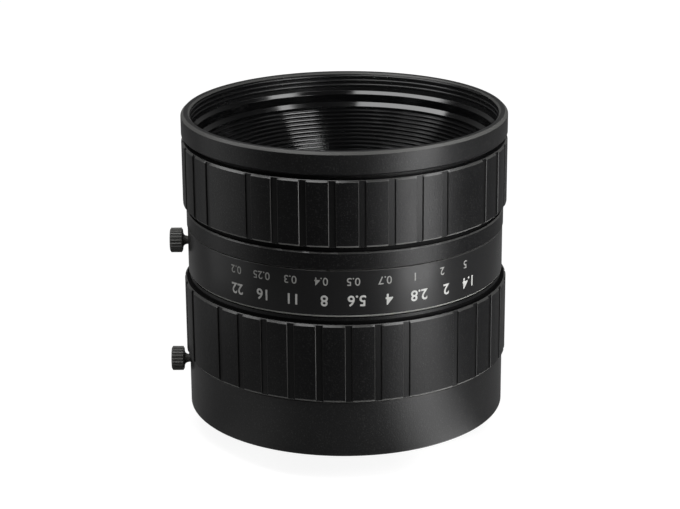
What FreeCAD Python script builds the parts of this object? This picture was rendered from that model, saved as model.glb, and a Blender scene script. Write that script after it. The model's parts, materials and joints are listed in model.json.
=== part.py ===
import FreeCAD, Part
import math
import os

# C-mount machine vision lens, 35 mm f/1.4 class, millimetres
# Origin: flange plane of the C-mount on the optical axis, +Z towards the object
# Angles are turned about +Z from +X, and -Y is the side that shows its scales

# Optical design, for a focal length of 100, front to rear
design_focal = 100.0
focal_length = 35.0
flange_distance = 17.526
design_back_focus = 73.839
design_radii = {
    "lens_1": (78.360, 469.477),
    "lens_2": (50.297, 74.376),
    "lens_3": (138.143, 34.326),
    "lens_4": (-34.407, -2907.016),
    "lens_5": (-2907.016, -59.047),
    "lens_6": (-150.021, -57.890),
    "lens_7": (284.630, -253.217),
}
design_thickness = {
    "lens_1": 9.884,
    "lens_2": 9.108,
    "lens_3": 2.326,
    "lens_4": 1.938,
    "lens_5": 12.403,
    "lens_6": 8.333,
    "lens_7": 5.039,
}
design_gap_behind = {
    "lens_1": 0.194,
    "lens_2": 2.946,
    "lens_3": 29.070,
    "lens_4": 0.0,
    "lens_5": 0.388,
    "lens_6": 0.194,
    "lens_7": 0.0,
}
design_stop_behind_lens_3 = 16.070
design_lens_1_outside_lens_2 = 2.9
design_lens_2_edge = 35.1
design_lens_3_edge = 28.9
design_cemented_pair_edge = 29.1
design_edge_step_behind_pair = 0.6
design_lens_3_rear_clear = 26.3
design_lens_4_front_clear = 23.1
design_stop_radius = 25.0
cement = 0.01

# Clearances
slide_fit = 0.05
screw_fit = 0.05
seat_gap = 0.02
axial_play = 0.05
ring_gap = 0.1
cut_margin = 1.0
same_point = 1e-6

# Walls from the lenses outwards: the front cell and the moving barrel
front_ring_land = 1.3
front_ring_lap = 0.5
front_ring_flare = 1.2
front_ring_height = 2.2
cell_head_wall = 1.8
cell_step = 1.1
cell_flange_step = 0.9
cell_flange_height = 1.4
cell_flange_below_lens_1_edge = 0.3
cell_head_above_lens_1_edge = 2.6
cell_relief = 0.9
cell_relief_margin = 2.0
cell_boss_wall = 1.1
cell_floor = 0.6
spanner_slot_width = 1.6
spanner_slot_depth = 0.7
spacer_wall = 0.6
spacer_open_wall = 0.7
spacer_lip_height = 1.3
spacer_open_height = 2.0
unit_wall = 2.1
unit_overhang = 0.4
iris_shoulder = 0.25

# Nested sleeves and rings, outwards from the moving barrel
guide_wall = 1.45
sleeve_wall = 1.45
skirt_gap = 0.15
cover_wall = 1.45
label_wall = 1.25
iris_grip_wall = 2.05
focus_grip_wall = 2.0
focus_band_step = 0.5
grip_wall_over_neck = 1.1
neck_gap = 0.2
neck_wall = 0.6
rim_wall = 1.4
edge_bevel = 0.25

# Lengths of the outer rings, from the flange plane up
cover_height = 8.9
cover_skirt_length = 3.6
label_ring_gap = 0.2
label_length = 7.3
label_web_height = 1.5
rim_gap = 0.69
rim_height = 3.56

# Grip slots: four groups of eight, with a wide pad between the groups
slot_groups = 4
slots_per_group = 8
slot_pitch_deg = 10.0
slot_width = 1.03
slot_depth = 0.22
slot_edge_bevel = 0.08
focus_group_deg = 270.7
iris_group_deg = 255.9
grip_top_bevel = 0.3
pad_foot_bevel = 0.3
pad_foot_land = 0.45
focus_groove_z = 0.85
focus_groove_depth = 0.95
focus_band_height = 2.5
focus_band_bevel = 0.2
iris_pad_foot = 0.05
iris_collar_height = 0.6
iris_collar_step = 0.85
label_foot_bevel = 0.25

# Rear cover and mount
cover_floor = 2.5
mount_thread_r = 12.7
mount_thread_length = 4.0
mount_thread_bevel = 0.4
mount_wall = 1.4
mount_collar_height = 1.0
mount_step = 1.5
guide_foot_gap = 0.3
guide_foot_height = 2.0

# Rear screws
rear_screw_count = 3
rear_screw_inside_guide = 2.7
rear_screw_outside_mount = 2.3
rear_screw_first_deg = 30.0
rear_screw_head_r = 1.7
rear_screw_r = 0.8
rear_screw_length = 4.2
screw_slot_width = 0.4
screw_slot_depth = 0.4
screw_slot_deg = 35.0

# Focus movement
focus_turn_deg = 130.0
focus_travel = 4.6
focus_pin_count = 3
focus_pin_first_deg = 90.0
focus_pin_r = 1.0
focus_pin_below_cell_flange = 2.65
focus_pin_seat_wall = 0.8
pin_tip_gap = 0.1
slot_fit = 0.05
slot_overcut = 0.5
retaining_ring_height = 0.6
retaining_ring_wall = 0.75
guide_below_web = 0.4
sleeve_below_web = 0.6

# Front of the moving unit
filter_thread_depth = 3.1
rim_bevel_r = 0.5
rim_bevel_z = 0.5
rim_foot_bevel = 0.3
rim_lip_bevel = 0.3
ledge_bevel = 0.5
baffle_top_below_ledge = 1.3
baffle_top_bevel = 0.6
baffle_steps = 14
baffle_step = 0.42
baffle_above_cell = 0.085
baffle_wall_z = 1.1
web_gap_z = 0.1
web_wall_z = 0.9
baffle_hub_wall = 1.1
hub_wall = 1.3
hub_length = 4.6

# Iris
blade_count = 7
rest_f_number = 4.0
fastest_f_number = 1.4
slowest_f_number = 22.0
iris_turn_deg = 48.0
pivot_outside_opening = 5.85
blade_width = 4.7
blade_root_inset = 1.2
blade_span_deg = 134.0
blade_thickness = 0.1
blade_pitch_z = 0.15
blade_ear_r = 0.85
blade_first_deg = 12.0
drive_pin_arm = 3.0
drive_pin_arm_deg = 84.0
blade_pin_r = 0.35
blade_pin_fit = 0.04
iris_plate_thickness = 0.6
iris_plate_below_stop = 0.57
iris_plate_opening_gap = 0.15
iris_chamber_outside_pivots = 1.5
iris_chamber_height = 1.15
blade_floor_gap = 0.05
cam_ring_thickness = 0.7
cam_ring_fit = 0.4
cam_ring_roof_gap = 0.1
cam_slot_points = 9
fork_wall = 0.95
fork_width = 4.2
fork_overrun = 1.4
iris_pin_r = 0.8
iris_pin_deg = 60.0
iris_pin_below_plate = 1.6
iris_pin_below_ring_top = 2.3
iris_pin_inner_gap = 0.2
window_margin = 0.3
window_margin_deg = 1.0
notch_margin = 0.15

# Rear cell
rear_cell_top_step = 1.55
rear_cell_top_flange = 1.0
rear_cell_tube_wall = 1.6
rear_cell_flange_height = 2.4
rear_cell_flange_above_end = 1.0
rear_cell_overhang = 1.3
rear_ring_wall = 1.1
rear_ring_height = 0.9

# Lock screws, at the side of the rings
lock_deg = 180.0
focus_lock_above_label_foot = 4.2
iris_lock_above_ledge = 1.3
lock_rest_backed_off = {"focus": 0.0, "iris": 0.35}
lock_shank_r = 0.65
lock_hole_fit = 0.07
lock_pad_r = 0.6
lock_pad_length = 0.35
lock_pad_gap = 0.03
lock_shank_length = 1.9
lock_head_r = 1.97
lock_head_length = 2.0
lock_neck_length = 0.5
lock_neck_r = 1.1
lock_knurls = 24
lock_knurl_depth = 0.14
lock_head_bevel = 0.2

# The optical design at its real size
scale = focal_length / design_focal
edge_radius = {
    "lens_1": (design_lens_2_edge + design_lens_1_outside_lens_2) * scale,
    "lens_2": design_lens_2_edge * scale,
    "lens_3": design_lens_3_edge * scale,
    "lens_4": design_cemented_pair_edge * scale,
    "lens_5": design_cemented_pair_edge * scale,
    "lens_6": (design_cemented_pair_edge + design_edge_step_behind_pair) * scale,
    "lens_7": (design_cemented_pair_edge + 2 * design_edge_step_behind_pair) * scale,
}
lens_3_rear_clear_r = design_lens_3_rear_clear * scale
lens_4_front_clear_r = design_lens_4_front_clear * scale
full_aperture_r = design_stop_radius * scale

# Radii that follow from the lenses and the walls, outwards
front_ring_thread_r = edge_radius["lens_1"] + front_ring_land
front_ring_seat_r = edge_radius["lens_1"] - front_ring_lap
cell_head_r = front_ring_thread_r + cell_head_wall
cell_r = cell_head_r + cell_step
cell_flange_r = cell_r + cell_flange_step
lower_bore_r = cell_r + iris_shoulder
pivot_circle_r = full_aperture_r + pivot_outside_opening
iris_chamber_r = pivot_circle_r + iris_chamber_outside_pivots
cam_ring_r = lower_bore_r - cam_ring_fit
fork_inner_r = cam_ring_r - fork_wall
cell_boss_r = edge_radius["lens_3"] + cell_boss_wall
cam_ring_bore_r = cell_boss_r + slide_fit
rear_cell_top_r = lower_bore_r - rear_cell_top_step
unit_r = cell_flange_r + unit_wall
focus_pin_inner_r = cell_r + focus_pin_seat_wall
hub_bore_r = unit_r - hub_wall
guide_bore_r = unit_r + slide_fit
guide_r = guide_bore_r + guide_wall
sleeve_bore_r = guide_r + slide_fit
sleeve_r = sleeve_bore_r + sleeve_wall
skirt_bore_r = sleeve_r + skirt_gap
cover_r = skirt_bore_r + cover_wall
label_r = skirt_bore_r + label_wall
iris_grip_r = sleeve_r + iris_grip_wall
focus_grip_r = sleeve_r + focus_grip_wall
focus_band_r = focus_grip_r - focus_band_step
focus_relief_r = focus_grip_r - grip_wall_over_neck
neck_r = focus_relief_r - neck_gap
neck_bore_r = neck_r - neck_wall
filter_minor_r = neck_bore_r + ledge_bevel
rim_r = filter_minor_r + rim_wall
rear_screw_circle_r = guide_r - rear_screw_inside_guide
mount_step_r = rear_screw_circle_r - rear_screw_outside_mount
mount_collar_r = mount_step_r - mount_step
mount_bore_r = mount_thread_r - mount_wall
guide_foot_r = mount_collar_r + guide_foot_gap

Z_AXIS = FreeCAD.Vector(0, 0, 1)
ORIGIN = FreeCAD.Vector(0, 0, 0)


# Distance of a lens surface behind its own vertex at a height off the axis
def sag(radius, height):
    root = math.sqrt(radius * radius - height * height)
    return radius - math.copysign(root, radius)


# Heights of the lens vertices above the flange plane, and of the stop
def place_lenses():
    rear = design_back_focus * scale - flange_distance
    stations = {}
    for name in reversed(list(design_radii)):
        rear = rear + design_gap_behind[name] * scale
        front = rear + design_thickness[name] * scale
        stations[name] = (front, rear)
        rear = front
    stop = stations["lens_3"][1] - design_stop_behind_lens_3 * scale
    return stations, stop


lens_z, stop_z = place_lenses()


# Height of the front or rear surface of one lens at a height off the axis
def surface_z(name, side, height):
    radius = design_radii[name][side] * scale
    return lens_z[name][side] - sag(radius, height)


lens_1_edge_front = surface_z("lens_1", 0, edge_radius["lens_1"])
lens_1_edge_rear = surface_z("lens_1", 1, edge_radius["lens_1"])
lens_2_edge_front = surface_z("lens_2", 0, edge_radius["lens_2"])
lens_2_edge_rear = surface_z("lens_2", 1, edge_radius["lens_2"])
lens_3_rim_z = surface_z("lens_3", 1, lens_3_rear_clear_r)
lens_4_rim_z = surface_z("lens_4", 0, lens_4_front_clear_r)
lens_7_edge_rear = surface_z("lens_7", 1, edge_radius["lens_7"])

# Heights of the inner pieces, which follow the lenses
cell_flange_z = lens_1_edge_rear + cell_flange_below_lens_1_edge
cell_flange_top = cell_flange_z + cell_flange_height
cell_head_top = lens_1_edge_front + cell_head_above_lens_1_edge
plate_z = stop_z - iris_plate_below_stop - iris_plate_thickness
plate_top = plate_z + iris_plate_thickness
chamber_top = plate_top + iris_chamber_height
cam_ring_z = chamber_top + axial_play
cam_ring_top = cam_ring_z + cam_ring_thickness
cell_foot_z = cam_ring_top + cam_ring_roof_gap
cell_boss_z = lens_3_rim_z - cell_floor
iris_pin_z = plate_z - iris_pin_below_plate
focus_pin_z = cell_flange_z - focus_pin_below_cell_flange
rear_cell_end = lens_7_edge_rear - rear_cell_overhang
rear_flange_z = rear_cell_end + rear_cell_flange_above_end
rear_flange_top = rear_flange_z + rear_cell_flange_height
unit_rear_z = rear_flange_z - unit_overhang

# Heights of the hood, upwards from the front cell
baffle_foot_z = cell_head_top + baffle_above_cell + baffle_step
baffle_mouth_z = baffle_foot_z + baffle_steps * baffle_step
baffle_top = baffle_mouth_z + baffle_top_bevel
ledge_z = baffle_top + baffle_top_below_ledge
thread_foot_z = ledge_z + ledge_bevel
rim_top = thread_foot_z + filter_thread_depth
rim_z = rim_top - rim_height
baffle_r = neck_bore_r - slide_fit
baffle_mouth_r = baffle_r - baffle_top_bevel
baffle_foot_r = baffle_mouth_r - baffle_steps * baffle_step
baffle_under = baffle_mouth_z - baffle_mouth_r - baffle_wall_z
web_upper = baffle_under - web_gap_z
web_under = web_upper - web_wall_z
hub_top = web_under + unit_r
hub_z = hub_top - hub_length
guide_top = hub_top - guide_below_web
sleeve_top = web_under + sleeve_bore_r - sleeve_below_web

# Heights of the outer rings, from the flange plane up
cover_ledge_top = cover_height - cover_skirt_length
iris_ring_z = cover_height + ring_gap
iris_ring_top = iris_pin_z + iris_pin_below_ring_top
label_z = iris_ring_top + label_ring_gap
label_top = label_z + label_length
sleeve_z = label_z + label_web_height + label_ring_gap
focus_ring_z = label_top + ring_gap
focus_ring_top = rim_z - rim_gap
lock_z = {
    "focus": label_z + focus_lock_above_label_foot,
    "iris": cover_ledge_top + iris_lock_above_ledge,
}

full_beta = 2 * math.degrees(math.asin(
    full_aperture_r * (1 - fastest_f_number / slowest_f_number) / (2 * pivot_circle_r)))
rest_beta = 2 * math.degrees(math.asin(
    full_aperture_r * (1 - fastest_f_number / rest_f_number) / (2 * pivot_circle_r)))
rest_turn_deg = iris_turn_deg * rest_beta / full_beta


# The same solid with its faces pointing outwards
def right_side_out(solid):
    if solid.Volume < 0:
        solid.reverse()
    return solid


# A closed outline in (radius, height) turned about the optical axis
def turned(points, angle=360, start=0):
    corners = [FreeCAD.Vector(r, 0, z) for r, z in points]
    outline = Part.makePolygon(corners + corners[:1])
    solid = Part.Face(outline).revolve(ORIGIN, Z_AXIS, angle)
    solid.rotate(ORIGIN, Z_AXIS, start)
    return right_side_out(solid)


# A plain ring
def ring(inner, outer, low, high):
    return turned([(inner, low), (outer, low), (outer, high), (inner, high)])


# A part of a ring between two angles
def ring_sector(inner, outer, low, high, first_deg, last_deg):
    outline = [(inner, low), (outer, low), (outer, high), (inner, high)]
    return turned(outline, last_deg - first_deg, first_deg)


# A cylinder along a radius of the lens
def radial_pin(radius, inner, outer, z, angle):
    pin = Part.makeCylinder(radius, outer - inner, FreeCAD.Vector(inner, 0, z), FreeCAD.Vector(1, 0, 0))
    pin.rotate(ORIGIN, Z_AXIS, angle)
    return pin


# A milled slot with round ends that runs along the optical axis
def axial_slot(half_width, inner, outer, low, high, angle):
    length = outer - inner
    block = Part.makeBox(length, 2 * half_width, high - low, FreeCAD.Vector(inner, -half_width, low))
    block.rotate(ORIGIN, Z_AXIS, angle)
    ends = [radial_pin(half_width, inner, outer, z, angle) for z in (low, high)]
    return joined(block, ends)


# A solid with others added one at a time
def joined(solid, others):
    for other in others:
        solid = solid.fuse(other)
    return solid


# A solid with cutters taken out one at a time
def with_cuts(solid, cutters):
    for cutter in cutters:
        solid = solid.cut(cutter)
    return solid


# Evenly spaced angles
def spread(count, first_deg):
    return [first_deg + 360.0 * index / count for index in range(count)]


# The angles of the grip slots round one ring
def slot_angles(group_deg):
    angles = []
    for middle in spread(slot_groups, group_deg):
        for index in range(slots_per_group):
            angles.append(middle + (index - (slots_per_group - 1) / 2) * slot_pitch_deg)
    return angles


# One grip slot as a cutter: flat floor, bevelled edges
def slot_cutter(outer_r, low, high, angle):
    floor = outer_r - slot_depth
    bevel = outer_r - slot_edge_bevel
    top = outer_r + slot_depth
    half = slot_width / 2
    wide = half + slot_edge_bevel + slot_depth
    outline = [(floor, -half), (bevel, -half), (top, -wide), (top, wide), (bevel, half), (floor, half)]
    corners = [FreeCAD.Vector(x, y, low) for x, y in outline]
    face = Part.Face(Part.makePolygon(corners + corners[:1]))
    cutter = face.extrude(FreeCAD.Vector(0, 0, high - low))
    cutter.rotate(ORIGIN, Z_AXIS, angle)
    return cutter


# A grip ring with all its slots cut
def slotted(body, outer_r, low, high, group_deg):
    return body.cut([slot_cutter(outer_r, low, high, angle) for angle in slot_angles(group_deg)])


# The bottom cover with its flange face, the seat of the mount and the iris lock's hole
def make_rear_cover():
    body = turned([
        (mount_collar_r, 0), (cover_r - edge_bevel, 0), (cover_r, edge_bevel),
        (cover_r, cover_height), (skirt_bore_r, cover_height), (skirt_bore_r, cover_ledge_top),
        (guide_r, cover_ledge_top), (guide_r, cover_floor), (mount_step_r, cover_floor),
        (mount_step_r, mount_collar_height), (mount_collar_r, mount_collar_height)])
    holes = [lock_hole("iris")]
    for angle in spread(rear_screw_count, rear_screw_first_deg):
        holes.append(rear_screw_body(angle, screw_fit, 0, cover_floor))
    return body.cut(holes)


# The threaded mount, trapped between the cover and the foot of the guide barrel
def make_c_mount():
    return turned([
        (mount_bore_r, -mount_thread_length),
        (mount_thread_r - mount_thread_bevel, -mount_thread_length),
        (mount_thread_r, mount_thread_bevel - mount_thread_length),
        (mount_thread_r, 0), (mount_collar_r, 0), (mount_collar_r, mount_collar_height),
        (mount_step_r, mount_collar_height), (mount_step_r, cover_floor), (mount_bore_r, cover_floor)])


# The fixed barrel: three straight slots for the focus pins, one across for the iris pin
def make_guide_barrel():
    foot_top = cover_floor + guide_foot_height
    body = turned([
        (guide_foot_r, cover_floor), (guide_r, cover_floor), (guide_r, guide_top),
        (guide_bore_r, guide_top), (guide_bore_r, foot_top), (guide_foot_r, foot_top)])
    cuts = []
    half = focus_pin_r + slot_fit
    for angle in spread(focus_pin_count, focus_pin_first_deg):
        cuts.append(axial_slot(half, guide_bore_r - cut_margin, guide_r + cut_margin,
                               focus_pin_z, focus_pin_z + focus_travel, angle))
    first = iris_pin_deg - rest_turn_deg
    last = first + iris_turn_deg
    high = iris_pin_r + slot_fit
    cuts.append(ring_sector(guide_bore_r - cut_margin, guide_r + cut_margin,
                            iris_pin_z - high, iris_pin_z + high, first, last))
    for angle in (first, last):
        cuts.append(radial_pin(high, guide_bore_r - cut_margin, guide_r + cut_margin, iris_pin_z, angle))
    for angle in spread(rear_screw_count, rear_screw_first_deg):
        cuts.append(rear_screw_body(angle, screw_fit, cover_floor - cut_margin, foot_top + cut_margin))
    return with_cuts(body, cuts)


# The band that carries the scales, fixed on the guide barrel by its web
def make_label_sleeve():
    body = turned([
        (guide_r, label_z), (label_r - label_foot_bevel, label_z),
        (label_r, label_z + label_foot_bevel), (label_r, label_top),
        (skirt_bore_r, label_top), (skirt_bore_r, sleeve_z - label_ring_gap),
        (guide_r, sleeve_z - label_ring_gap)])
    return body.cut(lock_hole("focus"))


# The ring screwed on top of the guide barrel, which keeps the focus ring down
def make_focus_retaining_ring():
    return ring(guide_r, guide_r + retaining_ring_wall - slide_fit,
                guide_top - retaining_ring_height, guide_top)


# One countersunk screw body, or its hole where a fit is added
def rear_screw_body(angle, fit, low, high):
    head = rear_screw_head_r + fit
    shank = rear_screw_r + fit
    depth = rear_screw_head_r - rear_screw_r
    profile = [(0, 0), (head, 0), (shank, depth), (shank, high), (0, high)]
    if low > 0:
        profile = [(0, low), (shank, low), (shank, high), (0, high)]
    screw = turned(profile)
    screw.translate(FreeCAD.Vector(rear_screw_circle_r, 0, 0))
    screw.rotate(ORIGIN, Z_AXIS, angle)
    return screw


# Three countersunk screws through the cover into the guide barrel
def make_rear_screws():
    screws = []
    for angle in spread(rear_screw_count, rear_screw_first_deg):
        screw = rear_screw_body(angle, 0, 0, rear_screw_length)
        slot = Part.makeBox(4 * rear_screw_head_r, screw_slot_width, 2 * screw_slot_depth)
        slot.translate(FreeCAD.Vector(-2 * rear_screw_head_r, -screw_slot_width / 2, -screw_slot_depth))
        slot.rotate(ORIGIN, Z_AXIS, angle + screw_slot_deg)
        middle = FreeCAD.Vector(rear_screw_circle_r, 0, 0)
        slot.translate(FreeCAD.Rotation(Z_AXIS, angle).multVec(middle))
        screws.append(screw.cut(slot))
    return Part.makeCompound(screws)


# The outer focus ring: slotted grip, a groove and a plain band
def make_focus_grip_ring():
    band_top = focus_ring_z + focus_band_height
    groove_r = focus_grip_r - focus_groove_depth
    groove_z = band_top + focus_band_bevel
    groove_top = groove_z + focus_groove_z
    land_r = focus_grip_r - pad_foot_bevel
    pad_z = groove_top + pad_foot_land + pad_foot_bevel
    body = turned([
        (sleeve_r, focus_ring_z), (focus_band_r, focus_ring_z), (focus_band_r, band_top),
        (focus_band_r - focus_band_bevel, groove_z), (groove_r, groove_z), (groove_r, groove_top),
        (land_r, groove_top), (land_r, groove_top + pad_foot_land), (focus_grip_r, pad_z),
        (focus_grip_r, focus_ring_top - grip_top_bevel),
        (focus_grip_r - grip_top_bevel, focus_ring_top), (focus_relief_r, focus_ring_top),
        (focus_relief_r, sleeve_top), (sleeve_r, sleeve_top)])
    return slotted(body, focus_grip_r, groove_top + pad_foot_land / 2, focus_ring_top + cut_margin,
                   focus_group_deg)


# One helical slot, cut through the sleeve by a pin that climbs as the ring turns
def helical_slot(angle):
    pitch = focus_travel * 360.0 / focus_turn_deg
    mean_r = (sleeve_bore_r + sleeve_r) / 2
    half = focus_pin_r + slot_fit
    reach = sleeve_wall / 2 + slot_overcut
    helix = Part.makeHelix(pitch, focus_travel, mean_r)
    climb = math.atan2(pitch, 2 * math.pi * mean_r)
    across = FreeCAD.Vector(0, -math.sin(climb), math.cos(climb))
    corners = []
    for radial, side in ((-reach, -half), (reach, -half), (reach, half), (-reach, half)):
        corners.append(FreeCAD.Vector(mean_r + radial, 0, 0) + across * side)
    section = Part.makePolygon(corners + corners[:1])
    slot = Part.Wire(helix.Edges).makePipeShell([section], True, True)
    slot = right_side_out(slot.mirror(ORIGIN, FreeCAD.Vector(0, 1, 0)))
    slot.translate(FreeCAD.Vector(0, 0, focus_pin_z))
    slot.rotate(ORIGIN, Z_AXIS, angle)
    start = radial_pin(half, mean_r - reach, mean_r + reach, focus_pin_z, angle)
    end = radial_pin(half, mean_r - reach, mean_r + reach, focus_pin_z + focus_travel,
                     angle - focus_turn_deg)
    return [slot, start, end]


# The inner focus sleeve with three helical slots that lift the lens unit
def make_focus_cam_sleeve():
    counterbore_r = guide_r + retaining_ring_wall + slide_fit
    counterbore_z = guide_top - retaining_ring_height - axial_play
    body = turned([
        (sleeve_bore_r, sleeve_z), (sleeve_r, sleeve_z), (sleeve_r, sleeve_top),
        (counterbore_r, sleeve_top), (counterbore_r, counterbore_z), (sleeve_bore_r, counterbore_z)])
    cuts = []
    for angle in spread(focus_pin_count, focus_pin_first_deg):
        cuts.extend(helical_slot(angle))
    return with_cuts(body, cuts)


# Three pins from the lens unit through the guide barrel into the sleeve's slots
def make_focus_pins():
    tip = sleeve_r - pin_tip_gap
    pins = [radial_pin(focus_pin_r, focus_pin_inner_r, tip, focus_pin_z, angle)
            for angle in spread(focus_pin_count, focus_pin_first_deg)]
    return Part.makeCompound(pins)


# The sliding barrel that carries all the glass
def make_unit_barrel():
    body = turned([
        (lower_bore_r, unit_rear_z), (unit_r, unit_rear_z), (unit_r, hub_z),
        (hub_bore_r, hub_z), (hub_bore_r, cell_flange_top), (cell_flange_r, cell_flange_top),
        (cell_flange_r, cell_flange_z), (cell_r, cell_flange_z), (cell_r, chamber_top),
        (lower_bore_r, chamber_top)])
    cuts = []
    for angle in spread(focus_pin_count, focus_pin_first_deg):
        cuts.append(radial_pin(focus_pin_r + seat_gap, focus_pin_inner_r - seat_gap, unit_r + cut_margin,
                               focus_pin_z, angle))
    margin = window_margin_deg + math.degrees(iris_pin_r / lower_bore_r)
    first = iris_pin_deg - rest_turn_deg - margin
    last = first + iris_turn_deg + 2 * margin
    low = iris_pin_z - focus_travel - iris_pin_r - window_margin
    high = iris_pin_z + iris_pin_r + window_margin
    cuts.append(ring_sector(lower_bore_r - cut_margin, unit_r + cut_margin, low, high, first, last))
    return body.cut(cuts)


# The front rim with its filter thread, its neck and the cone that ties it to the barrel
def make_filter_ring():
    lip_r = filter_minor_r + rim_lip_bevel
    return turned([
        (hub_bore_r, hub_z), (unit_r, hub_z), (unit_r, hub_top), (neck_r, web_under + neck_r),
        (neck_r, rim_z), (rim_r - rim_foot_bevel, rim_z), (rim_r, rim_z + rim_foot_bevel),
        (rim_r, rim_top - rim_bevel_z), (rim_r - rim_bevel_r, rim_top), (lip_r, rim_top),
        (filter_minor_r, rim_top - rim_lip_bevel), (filter_minor_r, thread_foot_z),
        (neck_bore_r, ledge_z),
        (neck_bore_r, web_upper + neck_bore_r), (hub_bore_r, web_upper + hub_bore_r)])


# The stepped cone that keeps stray light off the glass, resting on the front cell
def make_front_baffle():
    outline = [(baffle_r, baffle_top), (baffle_mouth_r, baffle_mouth_z)]
    for index in range(baffle_steps):
        r = baffle_mouth_r - index * baffle_step
        z = baffle_mouth_z - index * baffle_step
        outline.append((r, z - baffle_step))
        outline.append((r - baffle_step, z - baffle_step))
    hub_inner = cell_head_r + 2 * slide_fit
    hub_outer = hub_inner + baffle_hub_wall
    outline.append((baffle_foot_r, baffle_foot_z - baffle_step))
    outline.append((hub_inner, baffle_foot_z - baffle_step))
    outline.append((hub_inner, cell_flange_top))
    outline.append((hub_outer, cell_flange_top))
    outline.append((hub_outer, baffle_under + hub_outer))
    outline.append((baffle_r, baffle_under + baffle_r))
    return turned(outline)


# The cell that holds the three front lenses
def make_front_cell():
    edge_1 = edge_radius["lens_1"]
    edge_2 = edge_radius["lens_2"]
    edge_3 = edge_radius["lens_3"]
    relief_z = cell_foot_z + cell_relief_margin
    relief_top = cell_flange_z - cell_relief_margin
    return turned([
        (lens_3_rear_clear_r, cell_boss_z), (cell_boss_r, cell_boss_z), (cell_boss_r, cell_foot_z),
        (cell_r, cell_foot_z), (cell_r, relief_z), (cell_r - cell_relief, relief_z),
        (cell_r - cell_relief, relief_top), (cell_r, relief_top), (cell_r, cell_flange_z),
        (cell_flange_r, cell_flange_z), (cell_flange_r, cell_flange_top),
        (cell_head_r, cell_flange_top), (cell_head_r, cell_head_top),
        (front_ring_thread_r, cell_head_top), (front_ring_thread_r, lens_1_edge_front),
        (edge_1 + seat_gap, lens_1_edge_front), (edge_1 + seat_gap, lens_2_edge_front),
        (edge_2 + seat_gap, lens_2_edge_front), (edge_2 + seat_gap, lens_2_edge_rear - seat_gap),
        (edge_3 + seat_gap, surface_z("lens_2", 1, edge_3) - 4 * seat_gap),
        (edge_3 + seat_gap, lens_3_rim_z - seat_gap), (lens_3_rear_clear_r, lens_3_rim_z - seat_gap)])


# The ring that screws down on the front lens, with two slots for a spanner
def make_front_retaining_ring():
    seat_z = surface_z("lens_1", 0, front_ring_seat_r) + seat_gap
    edge_z = lens_1_edge_front + seat_gap
    top = edge_z + front_ring_height
    body = turned([
        (front_ring_seat_r, seat_z), (edge_radius["lens_1"], edge_z), (front_ring_thread_r, edge_z),
        (front_ring_thread_r, top), (front_ring_seat_r + front_ring_flare, top)])
    width = 2 * front_ring_thread_r
    slot = Part.makeBox(2 * width, spanner_slot_width, 2 * spanner_slot_depth)
    slot.translate(FreeCAD.Vector(-width, -spanner_slot_width / 2, top - spanner_slot_depth))
    return body.cut(slot)


# One lens with spherical faces and, where a face is dished, a flat rim
def make_lens(name):
    outer = edge_radius[name]
    clear = [outer, outer]
    if name == "lens_3":
        clear[1] = lens_3_rear_clear_r
    if name == "lens_4":
        clear[0] = lens_4_front_clear_r
    drop = cement if name == "lens_5" else 0.0
    faces = []
    for side in (0, 1):
        points = []
        for share in (0.0, 0.5, 1.0):
            height = share * clear[side]
            z = surface_z(name, side, height) - (drop if side == 0 else 0.0)
            points.append(FreeCAD.Vector(height, 0, z))
        faces.append(points)
    front, rear = faces
    edges = [Part.Arc(*front).toShape()]
    upper = FreeCAD.Vector(outer, 0, front[2].z)
    lower = FreeCAD.Vector(outer, 0, rear[2].z)
    corners = [front[2], upper, lower, rear[2]]
    for begin, end in zip(corners, corners[1:]):
        if begin.distanceToPoint(end) > same_point:
            edges.append(Part.LineSegment(begin, end).toShape())
    edges.append(Part.Arc(rear[2], rear[1], rear[0]).toShape())
    edges.append(Part.LineSegment(rear[0], front[0]).toShape())
    outline = Part.Wire(edges)
    return Part.Face(outline).revolve(ORIGIN, Z_AXIS, 360)


# The spacer between the first two lenses, opened out towards the front
def make_spacer_1_2():
    edge_1 = edge_radius["lens_1"]
    edge_2 = edge_radius["lens_2"]
    lip = edge_2 - spacer_wall
    foot = lens_2_edge_front + 2 * seat_gap
    open_r = edge_1 - spacer_open_wall
    return turned([
        (lip, surface_z("lens_2", 0, lip) + 2 * seat_gap), (edge_2, foot), (edge_1, foot),
        (edge_1, lens_1_edge_rear - seat_gap), (open_r, surface_z("lens_1", 1, open_r) - seat_gap),
        (open_r, foot + spacer_open_height), (lip, foot + spacer_lip_height)])


# A narrow spacer between two rear lenses
def make_spacer(front_name, rear_name):
    outer = edge_radius[front_name]
    inner = outer - spacer_wall
    return turned([
        (inner, surface_z(rear_name, 0, inner) + seat_gap),
        (outer, surface_z(rear_name, 0, outer) + seat_gap),
        (outer, surface_z(front_name, 1, outer) - seat_gap),
        (inner, surface_z(front_name, 1, inner) - seat_gap)])


# Where the drive pin of a blade stands when the blade has turned by beta
def drive_pin_at(beta):
    angle = math.radians(drive_pin_arm_deg + beta)
    x = pivot_circle_r + drive_pin_arm * math.cos(angle)
    y = drive_pin_arm * math.sin(angle)
    return x, y


# A flat arc strip between two angles with round ends
def arc_strip(inner, outer, first_deg, last_deg, low, thickness):
    middle = (inner + outer) / 2
    strip = ring_sector(inner, outer, low, low + thickness, first_deg, last_deg)
    ends = []
    for angle in (first_deg, last_deg):
        end = Part.makeCylinder((outer - inner) / 2, thickness, FreeCAD.Vector(middle, 0, low))
        end.rotate(ORIGIN, Z_AXIS, angle)
        ends.append(end)
    return joined(strip, ends)


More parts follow.
